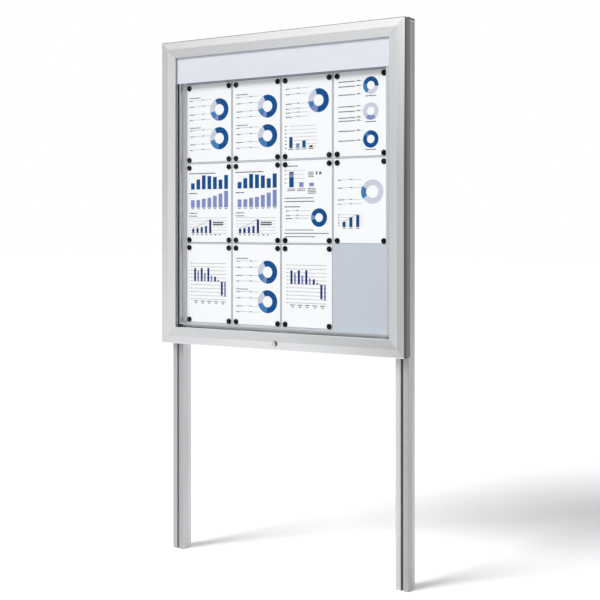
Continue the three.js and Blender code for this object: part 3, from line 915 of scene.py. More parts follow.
@dataclass
class SubAssembly(ABC):
    """Shared ways to make, round and dress pieces."""

    pieces: list[bpy.types.Object] = field(default_factory=list, init=False)

    @abstractmethod
    def build(self) -> None:
        """Makes and dresses every piece of the sub-assembly."""

    def piece(
        self,
        name: str,
        bm: Mesh,
        finishes: Sequence[Finish],
        slot: Slot,
        body: Body = Body.STAND,
        stands_for: Sequence[str] = (),
        sharp: float = 35.0,
        stepped: bool = False,
    ) -> bpy.types.Object:
        """Turns a finished mesh into a piece that rides on a body.

        Args:
            name: Name of the piece.
            bm: Mesh in the part's frame, freed here.
            finishes: Finishes in the order of the material indices.
            slot: Material slot of the record; not used.
            body: Body that carries the piece.
            stands_for: CAD nodes that the piece replaces.
            sharp: Fold in degrees past which an edge stays sharp.
            stepped: Whether the edges between two finishes stay sharp too.

        Returns:
            The new object.
        """
        bm.edges.index_update()
        steps = [edge.index for edge in bm.edges if len({face.material_index for face in edge.link_faces}) > 1]
        mesh = bpy.data.meshes.new(name)
        bm.to_mesh(mesh)
        bm.free()
        mesh.shade_smooth()
        mesh.set_sharp_from_angle(angle=math.radians(sharp))
        for index in steps if stepped else ():
            mesh.edges[index].use_edge_sharp = True
        made = bpy.data.objects.new(name, mesh)
        bpy.context.scene.collection.objects.link(made)
        for finish in finishes:
            mesh.materials.append(finish.material())
        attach(made, body.value)
        if stands_for:
            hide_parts(*stands_for)
        self.pieces.append(made)
        LOG.info("%s: %s faces on %s", name, len(mesh.polygons), body.value)
        return made

    def rounded(
        self,
        node: str,
        name: str,
        radius: float,
        finishes: Sequence[Finish],
        slot: Slot,
        body: Body = Body.STAND,
        segments: int = 2,
        chooser: Optional[FaceChooser] = None,
        stepped: bool = False,
        cuts: Sequence[float] = (),
    ) -> bpy.types.Object:
        """Makes a piece from a CAD node's shape with its creases rounded.

        Args:
            node: CAD node that the piece replaces.
            name: Name of the piece.
            radius: Rounding in millimetres.
            finishes: Finishes in the order of the material indices.
            slot: Material slot of the record.
            body: Body that carries the piece.
            segments: Facets across each rounding.
            chooser: Gives a face's material index.
            stepped: Whether the edges between two finishes stay sharp.
            cuts: Heights in metres where the faces are parted.

        Returns:
            The new object.
        """
        bm = bmesh.new()
        bm.from_mesh(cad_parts[node].data)
        bmesh.ops.remove_doubles(bm, verts=list(bm.verts), dist=CAD_WELD)
        bmesh.ops.dissolve_limit(
            bm,
            angle_limit=FLAT_FOLD,
            use_dissolve_boundaries=False,
            verts=list(bm.verts),
            edges=list(bm.edges),
        )
        for height in cuts:
            whole = [*bm.verts, *bm.edges, *bm.faces]
            bmesh.ops.bisect_plane(bm, geom=whole, dist=PLANE_GAP, plane_co=(0, 0, height), plane_no=(0, 0, 1))
        for face in bm.faces:
            face.material_index = chooser(face) if chooser else 0
        round_edges(bm, radius, segments)
        made = self.piece(name, bm, finishes, slot, body, [node], stepped=stepped)
        weigh = made.modifiers.new("flat_faces_stay_flat", "WEIGHTED_NORMAL")
        weigh.keep_sharp = True
        return made

    def dress(self, node: str, finish: Finish) -> None:
        """Gives a CAD node that stays in view its finish.

        Args:
            node: Name of the node.
            finish: Finish of all its faces.
        """
        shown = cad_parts[node]
        shown.data.materials.clear()
        shown.data.materials.append(finish.material())
        LOG.info("%s: dressed in %s", node, finish.name)


@dataclass
class Posts(SubAssembly):
    """Two slotted posts with moulded caps and the bolts that clamp the case."""

    edge: float = 0.5
    cap_edge: float = 1.2
    cap_rim: float = 8.5
    skin: float = 0.2

    def post_role(self, low: Vector, high: Vector) -> FaceChooser:
        """Returns a chooser for the faces of one post.

        Args:
            low: Lowest corner of the post.
            high: Highest corner of the post.

        Returns:
            The chooser, whose indices follow post_finishes.
        """
        middle = (low + high) / 2
        skin = self.skin * MM

        def role(face: Face) -> int:
            """Returns the index of the face's finish.

            Args:
                face: Face of the post.

            Returns:
                The index of its finish.
            """
            centre = face.calc_center_median()
            if centre.y < low.y + skin and face.normal.y < -FACING:
                return 1 if centre.x < middle.x else 2
            if min(centre.x - low.x, high.x - centre.x) < skin and abs(face.normal.x) > FACING:
                return 3 if centre.y < middle.y else 4
            return 0

        return role

    def build(self) -> None:
        """Builds posts, caps and bolts."""
        for side, finishes in (("left", PALETTE.post_left), ("right", PALETTE.post_right)):
            node, cap = f"post_{side}", f"post_cap_{side}"
            role = self.post_role(*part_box(node))
            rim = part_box(cap)[1].z - self.cap_rim * MM
            self.rounded(node, f"slotted_{node}", self.edge, finishes, Slot.POSTS, chooser=role)
            # Painted shade: the cap's band above the rim takes the dark grey.
            self.rounded(
                cap,
                f"moulded_{cap}",
                self.cap_edge,
                [PALETTE.cap, PALETTE.cap_top_painted_shade],
                Slot.CAPS,
                segments=3,
                chooser=lambda face: int(face.calc_center_median().z > rim),
                cuts=[rim],
            )
            for place in ("lower", "upper"):
                self.dress(f"clamp_bolt_{place}_{side}", PALETTE.zinc)


@dataclass
class MitredFrame(SubAssembly):
    """A frame of four mitred profiles whose outer faces are told apart by place and direction."""

    low: Vector
    high: Vector
    edge: float = 0.4
    reach: float = 0.4
    lean: float = FACING

    def outward(self, face: Face) -> tuple[float, float]:
        """Returns how far a face lies from the frame's outer edge, in metres, and how much it faces outwards.

        Args:
            face: Face of a profile.

        Returns:
            The distance in metres, and the part of the normal that points outwards.
        """
        centre, normal = face.calc_center_median(), face.normal
        sides = (
            (centre.x - self.low.x, -normal.x),
            (self.high.x - centre.x, normal.x),
            (centre.z - self.low.z, -normal.z),
            (self.high.z - centre.z, normal.z),
        )
        return min(sides)

    def is_outer(self, face: Face) -> int:
        """Returns 1 for a face on the frame's outer edge and 0 for any other."""
        inset, facing = self.outward(face)
        return int(inset < self.reach * MM and facing > self.lean)

    def dress_corners(self, owner: str) -> None:
        """Gives the four corner keys of a frame their finish."""
        for corner in ("bottom_left", "bottom_right", "top_right", "top_left"):
            self.dress(f"{owner}_corner_{corner}", PALETTE.casting)


@dataclass
class Case(MitredFrame):
    """The fixed case: profiles, corner keys, back panel and seal."""

    reach: float = 12.0
    lean: float = 0.3
    web: float = 16.0
    panel_edge: float = 0.3
    seal_edge: float = 0.8
    flap_lap: float = 1.0
    flap_reach: float = 8.0
    flap_gap: float = 0.35
    flap_skin: float = 0.8
    flap_edge: float = 0.3

    def role(self, face: Face) -> int:
        """Returns the index of the outer edge, outward wall, web, inward wall or the rest that a face belongs to.

        Args:
            face: Face of a profile.

        Returns:
            The index of its finish.
        """
        if self.is_outer(face):
            return 1
        _, facing = self.outward(face)
        if facing > FACING:
            return 2
        if facing < -FACING:
            return 4
        deep = face.calc_center_median().y > self.low.y + self.web * MM
        return 3 if deep and face.normal.y < -FACING else 0

    def build(self) -> None:
        """Builds the case."""
        # Roles take plain grey, painted shade on the outer edge and painted light on the outward walls; on the left
        # the web is painted shade and the inward wall painted light, elsewhere they are plain.
        left = [PALETTE.stile, PALETTE.side_painted_shade_stile, PALETTE.painted_light_stile, PALETTE.web_painted_shade, PALETTE.wall_painted_light]
        right = [PALETTE.stile, PALETTE.side_painted_shade_stile, PALETTE.painted_light_stile, PALETTE.stile, PALETTE.stile]
        rail = [PALETTE.rail, PALETTE.side_painted_shade_rail, PALETTE.painted_light_rail, PALETTE.rail, PALETTE.rail]
        for side, finishes in (("left", left), ("right", right), ("bottom", rail), ("top", rail)):
            name = f"case_profile_{side}"
            self.rounded(f"case_{side}", name, self.edge, finishes, Slot.FRAMES, chooser=self.role)
        self.dress_corners("case")
        self.rounded("back_panel", "enamelled_back", self.panel_edge, [PALETTE.panel], Slot.PANEL)
        self.rounded("case_seal", "case_seal_strip", self.seal_edge, [PALETTE.pale_rubber], Slot.SEALS)
        # Painted light: a pale rubber flap on the right side only, put where the channel wall shows lit.
        low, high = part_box("case_seal")
        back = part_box("header_panel")[1].y
        bm = bmesh.new()
        add_box(
            bm,
            Vector((high.x - self.flap_lap * MM, back + self.flap_gap * MM, low.z)),
            Vector((high.x + self.flap_reach * MM, back + (self.flap_gap + self.flap_skin) * MM, high.z)),
        )
        round_edges(bm, self.flap_edge, 2)
        self.piece("painted_light_flap_right", bm, [PALETTE.pale_rubber], Slot.SEALS)


@dataclass
class FlangeScrews(SubAssembly):
    """Pan-head screws with a round drive along the case's rear flanges, between the posts."""

    count: int = 5
    reach: float = 385.0
    seat: float = 0.05

    def build(self) -> None:
        """Builds a row of screws at the top and one at the bottom."""
        profile = (
            (0.0, 0.6), (1.4, 0.6), (1.55, 1.75), (2.3, 1.8), (3.3, 1.3), (3.8, 0.35), (3.8, self.seat),
            (0.0, self.seat),
        )
        for side in ("top", "bottom"):
            low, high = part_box(f"case_{side}")
            bm = bmesh.new()
            for turn in range(self.count):
                right = (2 * turn / (self.count - 1) - 1) * self.reach * MM
                add_turned(bm, profile, Vector((right, high.y, (low.z + high.z) / 2)), BACK, 24)
            self.piece(f"flange_screws_{side}", bm, [PALETTE.zinc], Slot.STEEL, sharp=40.0)


@dataclass
class Door(MitredFrame):
    """The glazed door: profiles, keys, beads, gasket, glass and header panel."""

    arris: float = 3.1
    arris_lean: tuple[float, float] = (-0.99, -0.1)
    bevel_lean: tuple[float, float] = (-0.998, -0.9)
    bead_edge: float = 0.3
    header_edge: float = 0.25

    def role(self, face: Face) -> int:
        """Returns the index of the band, bevel, outer edge, arris or lip that a face belongs to.

        Args:
            face: Face of a profile.

        Returns:
            The index of its finish.
        """
        inset, facing = self.outward(face)
        if self.is_outer(face):
            return 2
        if facing < -self.lean:
            return 4
        if inset < self.arris * MM and self.arris_lean[0] < face.normal.y < self.arris_lean[1]:
            return 3
        return int(self.bevel_lean[0] < face.normal.y < self.bevel_lean[1])

    def build(self) -> None:
        """Builds the door."""
        # The profiles' finishes by role are painted light and shade.
        for place, finishes in (
            ("left_stile", PALETTE.left),
            ("right_stile", PALETTE.right),
            ("bottom_rail", PALETTE.bottom),
            ("top_rail", PALETTE.top),
        ):
            node, name = f"door_{place}", f"door_profile_{place}"
            self.rounded(node, name, self.edge, finishes, Slot.FRAMES, Body.DOOR, chooser=self.role, stepped=True)
        self.dress_corners("door")
        for side in ("left", "right", "bottom", "top"):
            # The beads take the near-white painted-light greys.
            finish = PALETTE.painted_light_stile if side in ("left", "right") else PALETTE.painted_light_rail
            self.rounded(f"glazing_bead_{side}", f"clip_bead_{side}", self.bead_edge, [finish], Slot.FRAMES, Body.DOOR)
        self.rounded("glazing_gasket", "gasket_ring", self.bead_edge, [PALETTE.rubber], Slot.SEALS, Body.DOOR)
        self.dress("glazing", PALETTE.pane)
        self.rounded("header_panel", "header_plate", self.header_edge, [PALETTE.header], Slot.HEADER, Body.DOOR)


@dataclass
class Hinge(SubAssembly):
    """The continuous hinge along the top."""

    edge: float = 0.25

    def build(self) -> None:
        """Builds leaves and pin."""
        self.rounded("hinge_leaf_case", "hinge_leaf_fixed", self.edge, [PALETTE.hinge], Slot.STEEL, Body.STAND)
        self.rounded("hinge_leaf_door", "hinge_leaf_moving", self.edge, [PALETTE.hinge], Slot.STEEL, Body.DOOR)
        self.dress("hinge_pin", PALETTE.hinge)


@dataclass
class CamLock(SubAssembly):
    """The cam lock in the bottom rail, with a dark crescent of painted shade on its head, and its keeper."""

    edge: float = 0.25
    bore: float = 5.3
    barrel: float = 8.0
    head: float = 10.0
    head_back: float = 1.2
    crescent_from: float = -22.0
    crescent_to: float = 168.0
    crescent_reach: float = 3.2
    crescent_skin: float = 0.22
    crescent_steps: int = 28
    crescent_rim: float = 0.2
    crescent_swell: float = 0.6
    crescent_edge: float = 0.04
    groove: tuple[float, float] = (7.9, 8.87)
    keyway_shade_skin: float = 0.04
    plug_edge: float = 0.15
    front: Vector = field(default_factory=Vector, init=False)

    def head_ring(self) -> None:
        """Turns the dished head and its barrel about the lock's axis; the faces of the groove in its face take the
        black paint as painted shade.
        """
        low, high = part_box("lock_housing")
        self.front = Vector(((low.x + high.x) / 2, low.y, (low.z + high.z) / 2))
        end = (high.y - low.y) / MM
        profile = (
            (self.bore, 0.7), (7.9, 0.7), (8.0, 0.95), (8.7, 0.95), (8.85, 0.32), (9.1, 0.24), (9.4, 0.28),
            (9.8, 0.6), (self.head, 1.0), (self.head, self.head_back), (self.barrel, self.head_back),
            (self.barrel, end), (self.bore, end), (self.bore, 0.7),
        )
        bm = bmesh.new()
        add_turned(bm, profile, self.front, BACK, 48)
        # Painted shade: the groove's faces take the black paint.
        for face in bm.faces:
            arm = face.calc_center_median() - self.front
            radius = math.hypot(arm.x, arm.z) / MM
            face.material_index = int(self.groove[0] < radius < self.groove[1] and arm.y < self.head_back * MM)
        finishes = [PALETTE.chrome, PALETTE.tube]
        self.piece("lock_head", bm, finishes, Slot.LOCK, Body.DOOR, ["lock_housing"], 40.0)

    def shade_crescent(self) -> None:
        """Cuts a dark crescent beside the plug: painted shade on the right half of the lock's head."""
        bm = bmesh.new()
        rows = []
        rim = self.head - self.crescent_rim
        for turn in range(self.crescent_steps + 1):
            share = turn / self.crescent_steps
            angle = math.radians(self.crescent_from + (self.crescent_to - self.crescent_from) * share)
            ray = Vector((math.sin(angle), 0, math.cos(angle)))
            swell = max(0.0, math.sin(math.pi * share)) ** self.crescent_swell
            inner = rim - (rim - self.crescent_reach) * swell
            rows.append([bm.verts.new(self.front + ray * radius * MM) for radius in (inner, self.head)])
        for one, two in zip(rows, rows[1:]):
            bm.faces.new((one[0], one[1], two[1], two[0]))
        thicken(bm, list(bm.faces), self.crescent_skin)
        bmesh.ops.recalc_face_normals(bm, faces=list(bm.faces))
        round_edges(bm, self.crescent_edge, 1)
        self.piece("lock_painted_shade_crescent", bm, [PALETTE.magnet], Slot.LOCK, Body.DOOR, sharp=40.0)

    def keyway_shade(self) -> None:
        """Turns a dark raised ring round the keyway: painted shade for the keyway's hollow."""
        bm = bmesh.new()
        add_turned(bm, ((0.9, 0.3), (1.0, 0.16), (1.9, 0.16), (2.1, 0.3)), self.front, BACK, 32)
        bmesh.ops.solidify(bm, geom=list(bm.faces), thickness=self.keyway_shade_skin * MM)
        self.piece("keyway_shade_ring", bm, [PALETTE.tube], Slot.LOCK, Body.LOCK, sharp=40.0)

    def build(self) -> None:
        """Builds head, shade crescent, keyway shade ring, nut, plug, cam and keeper."""
        self.head_ring()
        self.shade_crescent()
        self.keyway_shade()
        self.rounded("lock_nut", "lock_ring_nut", self.edge, [PALETTE.zinc], Slot.STEEL, Body.DOOR)
        self.rounded("lock_plug", "key_plug", self.plug_edge, [PALETTE.chrome], Slot.LOCK, Body.LOCK)
        self.rounded("lock_cam", "lock_cam_arm", self.edge, [PALETTE.zinc], Slot.STEEL, Body.LOCK)
        self.rounded("lock_keeper", "keeper_plate", self.edge, [PALETTE.zinc], Slot.STEEL)


@dataclass
class GasStruts(SubAssembly):
    """A gas strut on each side with its bracket and stud."""

    edge: float = 0.35

    def build(self) -> None:
        """Builds both struts."""
        for side in ("left", "right"):
            for node, name, finish, slot, body in (
                ("cylinder", "gas_tube", PALETTE.tube, Slot.STRUT_TUBES, Body(f"cylinder_{side}")),
                ("rod", "gas_rod", PALETTE.rod, Slot.STRUT_RODS, Body(f"rod_{side}")),
                ("bracket", "pin_bracket", PALETTE.zinc, Slot.STEEL, Body.STAND),
                ("stud", "stud_bracket", PALETTE.zinc, Slot.STEEL, Body.DOOR),
            ):
                self.rounded(f"strut_{node}_{side}", f"{name}_{side}", self.edge, [finish], slot, body)


@dataclass
class ChartPen:
    """Draws flat print on one sheet, in millimetres to the right of and below its top left corner."""

    corner: Vector
    lift: float = 0.12
    sunk: float = 0.02
    bold: float = 1.3
    pen: float = 0.9
    gap: float = 1.1
    least: float = 1.0
    facet: float = 7.5
    bm: Mesh = field(default_factory=bmesh.new)

    def place(self, right: float, down: float, depth: float) -> Vector:
        """Returns a point in metres from its place on the sheet and its depth in front of the paper."""
        return Vector((self.corner.x + right * MM, self.corner.y - depth * MM, self.corner.z - down * MM))

    def patch(self, left: float, top: float, right: float, bottom: float, ink: InkTone) -> None:
        """Prints a rectangle between its left, top, right and bottom edges."""
        add_box(self.bm, self.place(left, bottom, self.lift), self.place(right, top, -self.sunk), ink.value)

    def rule(self, left: float, right: float, down: float, weight: float, ink: InkTone = FAINT) -> None:
        """Prints a level line of a given weight."""
        half = weight * self.bold / 2
        self.patch(left, down - half, right, down + half, ink)

    def words(self, left: float, right: float, down: float, weight: float, first: int = 0) -> None:
        """Prints a broken stroke that stands for a line of small print.

        Args:
            left: Start of the line.
            right: End of the line.
            down: Height of its middle.
            weight: Height of the stroke.
            first: Where the run of lengths starts.
        """
        start, turn = left, first
        while start < right - self.least:
            stop = min(start + WORD_LENGTHS[turn % len(WORD_LENGTHS)], right)
            self.rule(start, stop, down, weight, GREY)
            start, turn = stop + self.gap, turn + 1

    def line(self, *points: tuple[float, float]) -> None:
        """Prints a thin polyline through points of right and down.

        Args:
            *points: Places to the right and down, in order.
        """
        for (x1, y1), (x2, y2) in zip(points, points[1:]):
            along = Vector((x2 - x1, 0, y1 - y2))
            turn = Matrix.Rotation(-math.atan2(along.z, along.x), 4, "Y")
            middle = self.place((x1 + x2) / 2, (y1 + y2) / 2, (self.lift - self.sunk) / 2)
            size = (along.length * MM, (self.lift + self.sunk) * MM, self.pen * MM, 1.0)
            add_block(self.bm, Matrix.Translation(middle) @ turn @ Matrix.Diagonal(size), GREY.value)

    def ring(
        self,
        right: float,
        down: float,
        outer: float,
        inner: float,
        start: float,
        *parts: tuple[float, InkTone],
        pull: float = 0.0,
    ) -> None:
        """Prints a ring chart.

        Args:
            right: Place of its centre.
            down: Place of its centre.
            outer: Outer radius.
            inner: Radius of the hole.
            start: Clock angle in degrees at which the first part starts.
            *parts: Clock angle at which each part ends, and its ink.
            pull: How far the last part is pulled out.
        """
        for end, ink in parts:
            shift = pull if end == parts[-1][0] else 0.0
            middle, angle = math.radians((start + end) / 2), math.radians(start)
            centre = self.place(right + shift * math.sin(middle), down - shift * math.cos(middle), self.lift)
            ray = Vector((math.sin(angle), 0, math.cos(angle)))
            ends = [self.bm.verts.new(centre + ray * radius * MM) for radius in (inner, outer)]
            edge = self.bm.edges.new(ends)
            before = set(self.bm.faces)
            bmesh.ops.spin(
                self.bm,
                geom=ends + [edge],
                cent=centre,
                axis=BACK,
                angle=math.radians(end - start),
                steps=max(2, round((end - start) / self.facet)),
                use_merge=False,
                use_normal_flip=False,
                use_duplicate=False,
            )
            thicken(self.bm, [face for face in self.bm.faces if face not in before], self.lift + self.sunk)
            fresh = [face for face in self.bm.faces if face not in before]
            for face in fresh:
                face.material_index = ink.value
            bmesh.ops.recalc_face_normals(self.bm, faces=fresh)
            start = end

    def columns(self, left: float, pitch: float, width: float, base: float, ink: InkTone, *heights: float) -> None:
        """Prints a row of columns on one base line.

        Args:
            left: Left edge of the first column.
            pitch: Distance from one column to the next.
            width: Width of a column.
            base: Height of the base line.
            ink: Ink of the columns.
            *heights: Heights of the columns, negative for one that hangs.
        """
        for turn, height in enumerate(heights):
            start = left + turn * pitch
            top, bottom = sorted((base - height, base))
            self.patch(start, top, start + width, bottom, ink)


class Page(Enum):
    """Generic chart pages, each by the name of the method that draws it."""

    TWO_RINGS = "two_rings"
    RING_AND_COLUMNS = "ring_and_columns"
    THREE_RINGS = "three_rings"
    COLUMN_REPORT = "column_report"
    STACK_AND_RING = "stack_and_ring"
    RING_AND_RISE = "ring_and_rise"
    RISE_AND_FALL = "rise_and_fall"


class Printer(ChartPen):
    """Lays out the chart pages."""

    def labelled(self, downs: Iterable[float], end: float, tick: float) -> None:
        """Prints leader lines with a label at their start and a figure on the way.

        Args:
            downs: Heights of the lines.
            end: Where the lines stop.
            tick: Where the figure stands.
        """
        for turn, down in enumerate(downs):
            self.words(17, 31 + 6 * (turn % 3), down + 1.2, 1.9, turn)
            self.rule(17, end, down, 0.7)
            self.words(tick, tick + 9, down - 0.6, 2.2, turn + 1)

    def strokes(
        self,
        count: int,
        pitch: tuple[float, float],
        left: float,
        right: float,
        down: float,
        weight: float,
        first: int = 0,
    ) -> None:
        """Prints short lines of small print at even steps.

        Args:
            count: Number of lines.
            pitch: Step to the right and step down from one line to the next.
            left: Start of the first line.
            right: End of the first line.
            down: Height of the first line.
            weight: Height of the strokes.
            first: Where the run of lengths starts in the first line.
        """
        for turn in range(count):
            aside = pitch[0] * turn
            self.words(left + aside, right + aside, down + pitch[1] * turn, weight, turn + first)

    def two_rings(self) -> None:
        """Prints two ring charts with their labels."""
        upper = (-27, (188, BLUE), (214, LILAC), (256, SKY), (333, PALE))
        lower = (-30, (184, BLUE), (258, SKY), (330, PALE))
        for down, middle, parts in ((95, 101.5, upper), (208, 209, lower)):
            self.words(17, 68, down - 42, 2.2, down)
            self.labelled((down - 33, down - 10, down + 20, down + 41), 118, 76)
            self.ring(154, middle, 42, 20.5, *parts)

    def ring_and_columns(self) -> None:
        """Prints a ring chart over a small column chart."""
        self.labelled((45, 65, 99, 117, 131, 146), 112, 66)
        self.ring(154, 93, 42.5, 20.5, -18, (186, BLUE), (232, LILAC), (266, SKY), (342, PALE))
        for turn in range(7):
            self.rule(34, 146, 180 + 13 * turn, 0.6)
        self.strokes(7, (0, 13), 14, 21, 180, 2.4)
        for left, height, ink in ((32, 40, BLUE), (61, 16, LILAC), (87, 25, BLUE), (116, 7, GREY)):
            self.columns(left, 0, 14, 258, ink, height)
            self.words(left - 3, left + 17, 263, 2.2, left)

    def three_rings(self) -> None:
        """Prints three stacked ring charts."""
        for down, *parts in (
            (54, -70, (98, BLUE), (210, PALE), (290, SKY)),
            (143, -138, (140, PALE), (222, LILAC)),
            (239, -25, (300, BLUE), (335, SKY)),
        ):
            self.ring(147, down, 30, 14.5, *parts)
            self.words(126, 168, down + 36, 2.2, down)
        for down in (36, 53, 82, 123, 140, 162, 173, 208, 242):
            self.words(20, 84, down, 2.4, down)
            self.words(93, 105, down - 1.5, 2.4, down + 2)
            self.rule(84, 116, down, 0.6)

    def column_report(self) -> None:
        """Prints two large column charts and a small one with a rising line."""
        for stroke in ((14, 136, 37, 2.6), (14, 50, 112, 2.6, 2), (14, 52, 187, 2.4, 1), (14, 52, 198, 2.4, 3)):
            self.words(*stroke)
        self.columns(22, 25.7, 17.5, 97, BLUE, 24, 38, 53, 50, 46, 35, 52)
        self.columns(22, 25.7, 17.5, 166, LILAC, 29, 29, 34, 37, 44, 52, 62)
        self.strokes(7, (25.7, 0), 25, 37, 170, 2.2)
        for turn in range(6):
            self.rule(14, 190, 205 + 11.4 * turn, 0.7)
        for turn, height in enumerate((17, 19, 23, 27, 50)):
            self.columns(28 + 19.8 * turn, 0, 10, 262, NAVY if turn in (0, 1, 4) else BLUE, height)
        self.line((33, 243), (70, 230), (112, 209))
        self.patch(124, 220, 172, 225, FAINT)
        self.patch(124, 228, 172, 233, FAINT)
        self.strokes(7, (20.5, 0), 28, 38, 268, 2.4)

    def stack_and_ring(self) -> None:
        """Prints a stacked column chart over a ring chart and notes."""
        for turn in range(4):
            self.rule(24, 96, 36 + 15 * turn, 0.6)
        for rows in (
            (4, (0, 15), 13, 20, 36, 2.2), (4, (0, 5.5), 112, 134, 44, 2.0), (4, (0, 5.5), 110, 142, 103, 2.0, 2),
            (2, (0, 6), 24, 58, 103, 2.0), (2, (0, 6), 66, 98, 103, 2.0, 1),
        ):
            self.strokes(*rows)
        for patch in (
            (32, 41, 51, 48, FAINT), (32, 48, 51, 61, LILAC), (32, 61, 51, 97, BLUE), (74, 80, 92, 97, LILAC),
            (116, 82, 135, 95, LILAC), (144, 42, 149, 54, GREY), (156, 44, 166, 53, FAINT),
        ):
            self.patch(*patch)
        for stroke in (
            (14, 68, 21, 2.4), (12, 132, 136, 2.4, 1), (12, 138, 148, 2.4, 4), (12, 76, 167, 2.6, 2),
            (16, 132, 250, 2.2, 3), (12, 196, 262, 2.2), (16, 140, 274, 2.2, 5),
        ):
            self.words(*stroke)
        self.labelled((181, 198, 208), 118, 62)
        self.ring(156, 206, 33, 15.5, -73, (254, BLUE), (287, LILAC))

    def ring_and_rise(self) -> None:
        """Prints a pale ring with one pulled slice over three rising columns."""
        self.labelled((75, 103, 144, 159), 112, 66)
        self.ring(154, 118, 42, 22, -60, (234, PALE), (300, SKY), pull=3.0)
        self.strokes(5, (0, 9.5), 18, 25, 197, 2.2)
        for turn in range(5):
            self.rule(30, 118, 197 + 9.5 * turn, 0.5)
        self.columns(36, 27, 12.5, 240, BLUE, 19, 34, 42)
        self.strokes(3, (27, 0), 36, 48, 244, 2.0)
        self.line((42, 220), (69, 206), (96, 195))

    def rise_and_fall(self) -> None:
        """Prints paired columns that shrink and then hang below the base line."""
        for turn in range(11):
            self.rule(27, 186, 74 + 13.5 * turn, 0.8, GREY if turn % 5 == 0 else FAINT)
        self.strokes(11, (0, 13.5), 21, 25, 74, 2.0)
        self.columns(37, 31, 9, 141, NAVY, 48, 49, 50, 18, -52)
        self.columns(52, 31, 8, 141, LILAC, 38, 31, 21, 6, -56)
        self.strokes(5, (31, 0), 36, 56, 217, 2.4)
        self.strokes(5, (31, 0), 41, 51, 224, 2.4, 1)

    def sheet_edge_shade(self, width: float, height: float, weight: float = 1.1) -> None:
        """Prints a thin grey frame along the edges of a sheet of a given size: painted shade along the gaps between
        sheets.

        Args:
            width: Width of the sheet.
            height: Height of the sheet.
            weight: Width of the frame.
        """
        self.patch(0.1, 0.1, weight, height - 0.1, FAINT)
        self.patch(width - weight, 0.1, width - 0.1, height - 0.1, FAINT)
        self.patch(weight, 0.1, width - weight, weight, FAINT)
        self.patch(weight, height - weight, width - weight, height - 0.1, FAINT)


PAGES: dict[str, Page] = {
    "1_1": Page.TWO_RINGS,
    "1_2": Page.TWO_RINGS,
    "1_3": Page.RING_AND_COLUMNS,
    "1_4": Page.THREE_RINGS,
    "2_1": Page.COLUMN_REPORT,
    "2_2": Page.COLUMN_REPORT,
    "2_3": Page.STACK_AND_RING,
    "2_4": Page.RING_AND_RISE,
    "3_1": Page.RISE_AND_FALL,
    "3_2": Page.TWO_RINGS,
    "3_3": Page.RISE_AND_FALL,
}


@dataclass
class NoticeSheets(SubAssembly):
    """Eleven sheets, each held by four round magnets."""

    thickness: float = 0.3
    paper_edge: float = 0.08
    magnet_radius: float = 9.8
    inset_left: float = 15.0
    inset_right: float = 12.0
    inset_top: float = 15.0
    inset_bottom: float = 9.5
    chamfer: float = 0.7
    crown: float = 0.4

    def magnets(self, place: str, low: Vector, high: Vector, front: float) -> None:
        """Makes the four magnets of one place.

        Args:
            place: Row and column of the sheet.
            low: Lowest corner of the sheet's CAD node.
            high: Highest corner of the sheet's CAD node.
            front: Depth of the paper's front face.
        """
        bm = bmesh.new()
        radius, height, bevel = self.magnet_radius, front / MM - low.y / MM, self.chamfer
        shoulder = height - self.crown
        profile = (
            (0, height), (radius * 0.35, height - self.crown * 0.15), (radius * 0.62, shoulder),
            (radius - bevel, shoulder), (radius - bevel * 0.3, shoulder - bevel * 0.3), (radius, shoulder - bevel),
            (radius, 0), (0, 0),
        )
        for x in (low.x + self.inset_left * MM, high.x - self.inset_right * MM):
            for z in (low.z + self.inset_bottom * MM, high.z - self.inset_top * MM):
                add_turned(bm, profile, Vector((x, front, z)), -BACK, 24)
        self.piece(f"magnets_{place}", bm, [PALETTE.magnet], Slot.SHEETS, sharp=50.0)

    def build(self) -> None:
        """Builds paper, magnets and print of every place."""
        for place, page in PAGES.items():
            low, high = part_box(f"notice_sheet_{place}")
            front = high.y - self.thickness * MM
            bm = bmesh.new()
            add_box(bm, Vector((low.x, front, low.z)), high)
            round_edges(bm, self.paper_edge, 1)
            self.piece(f"paper_{place}", bm, [PALETTE.paper], Slot.SHEETS, stands_for=[f"notice_sheet_{place}"])
            self.magnets(place, low, high, front)
            printer = Printer(Vector((low.x, front, high.z)))
            getattr(printer, page.value)()
            # Painted shade along the sheet's edges.
            printer.sheet_edge_shade((high.x - low.x) / MM, (high.z - low.z) / MM)
            self.piece(f"print_{place}", printer.bm, INKS, Slot.SHEETS, sharp=20.0)

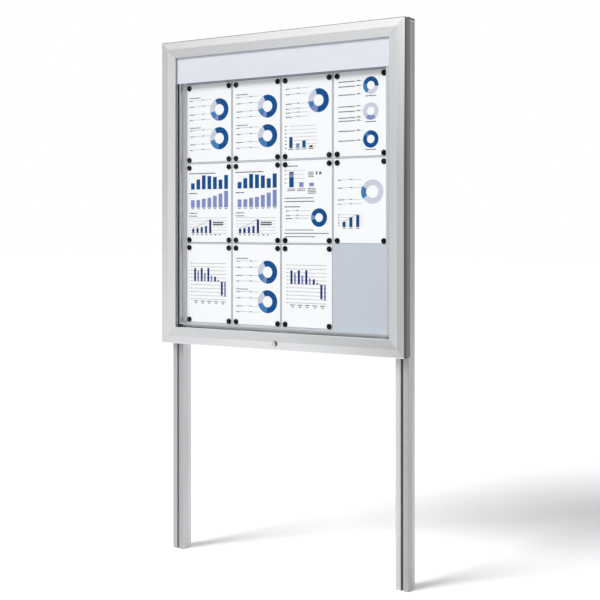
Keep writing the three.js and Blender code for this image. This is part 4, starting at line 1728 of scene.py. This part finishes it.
@dataclass
class Studio:
    """Camera, floor, lamps and world."""

    eye: tuple[float, float, float] = (2.1078, -3.33955, 1.2295)
    turn: float = 31.35
    lens: float = 65.48
    drop: float = -0.1188
    sky: float = 0.355
    key: float = 1.95
    key_spread: float = 26.0
    key_from: tuple[float, float, float] = (-0.393, -0.717, 0.574)
    floor_tone: Tone = Tone(254, 254, 255)
    floor_lift: float = 0.53
    floor_half: float = 40.0

    def camera(self) -> None:
        """Places the level camera with the photograph's view."""
        data = bpy.data.cameras.new("studio_camera")
        data.lens = self.lens
        data.sensor_width = 36.0
        data.shift_y = self.drop
        data.clip_end = 200.0
        made = bpy.data.objects.new("studio_camera", data)
        made.location = self.eye
        made.rotation_euler = (math.radians(90.0), 0.0, math.radians(self.turn))
        bpy.context.scene.collection.objects.link(made)
        bpy.context.scene.camera = made

    def lamp(self) -> None:
        """Places one wide soft key lamp ahead and to the left."""
        data = bpy.data.lights.new("key_lamp", "SUN")
        data.energy = self.key
        data.angle = math.radians(self.key_spread)
        made = bpy.data.objects.new("key_lamp", data)
        made.rotation_euler = Vector(self.key_from).to_track_quat("Z", "Y").to_euler()
        bpy.context.scene.collection.objects.link(made)

    def world(self) -> None:
        """Makes a white background that lights the object at a plain level."""
        world = bpy.data.worlds.new("studio_world")
        world.use_nodes = True
        wiring = Wiring(world.node_tree, "ShaderNodeOutputWorld")
        skies = []
        for strength in (self.sky, 1.0):
            sky = wiring.add("ShaderNodeBackground")
            sky.inputs["Color"].default_value = (1.0, 1.0, 1.0, 1.0)
            sky.inputs["Strength"].default_value = strength
            skies.append(sky.outputs["Background"])
        wiring.join(wiring.choose(wiring.seen(), *skies), wiring.surface)
        bpy.context.scene.world = world

    def floor(self) -> None:
        """Lays a pale floor that keeps the object's shadow."""
        bm = bmesh.new()
        bmesh.ops.create_grid(bm, x_segments=1, y_segments=1, size=self.floor_half)
        mesh = bpy.data.meshes.new("studio_floor")
        bm.to_mesh(mesh)
        bm.free()
        made = bpy.data.objects.new("studio_floor", mesh)
        bpy.context.scene.collection.objects.link(made)
        recipe = Recipe("studio_floor")
        recipe.tint(recipe.noise(even(0.7)), self.floor_tone, 0.004)
        recipe.set(Roughness=0.9, Specular_IOR_Level=0.1)
        lift = recipe.add("ShaderNodeBsdfDiffuse")
        lift.inputs["Color"].default_value = (self.floor_lift, self.floor_lift, self.floor_lift, 1.0)
        both = recipe.add("ShaderNodeAddShader")
        recipe.join(recipe.shader.outputs["BSDF"], both.inputs[0])
        recipe.join(recipe.choose(recipe.seen(), None, lift.outputs["BSDF"]), both.inputs[1])
        recipe.join(both.outputs["Shader"], recipe.surface)
        mesh.materials.append(recipe.material)

    def build(self) -> None:
        """Sets the studio up."""
        bpy.context.scene.view_settings.view_transform = "Standard"
        self.camera()
        self.lamp()
        self.world()
        self.floor()


def main() -> None:
    """Builds the studio and every sub-assembly in order."""
    logging.basicConfig(level=logging.INFO, format="%(message)s")
    Studio().build()
    case = Case(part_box("case_left")[0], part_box("case_right")[1])
    door = Door(DOOR_LOW, DOOR_HIGH)
    for assembly in (Posts(), case, FlangeScrews(), door, Hinge(), CamLock(), GasStruts(), NoticeSheets()):
        assembly.build()
        LOG.info("%s: %s new pieces", type(assembly).__name__, len(assembly.pieces))


if __name__ == "__main__":
    main()
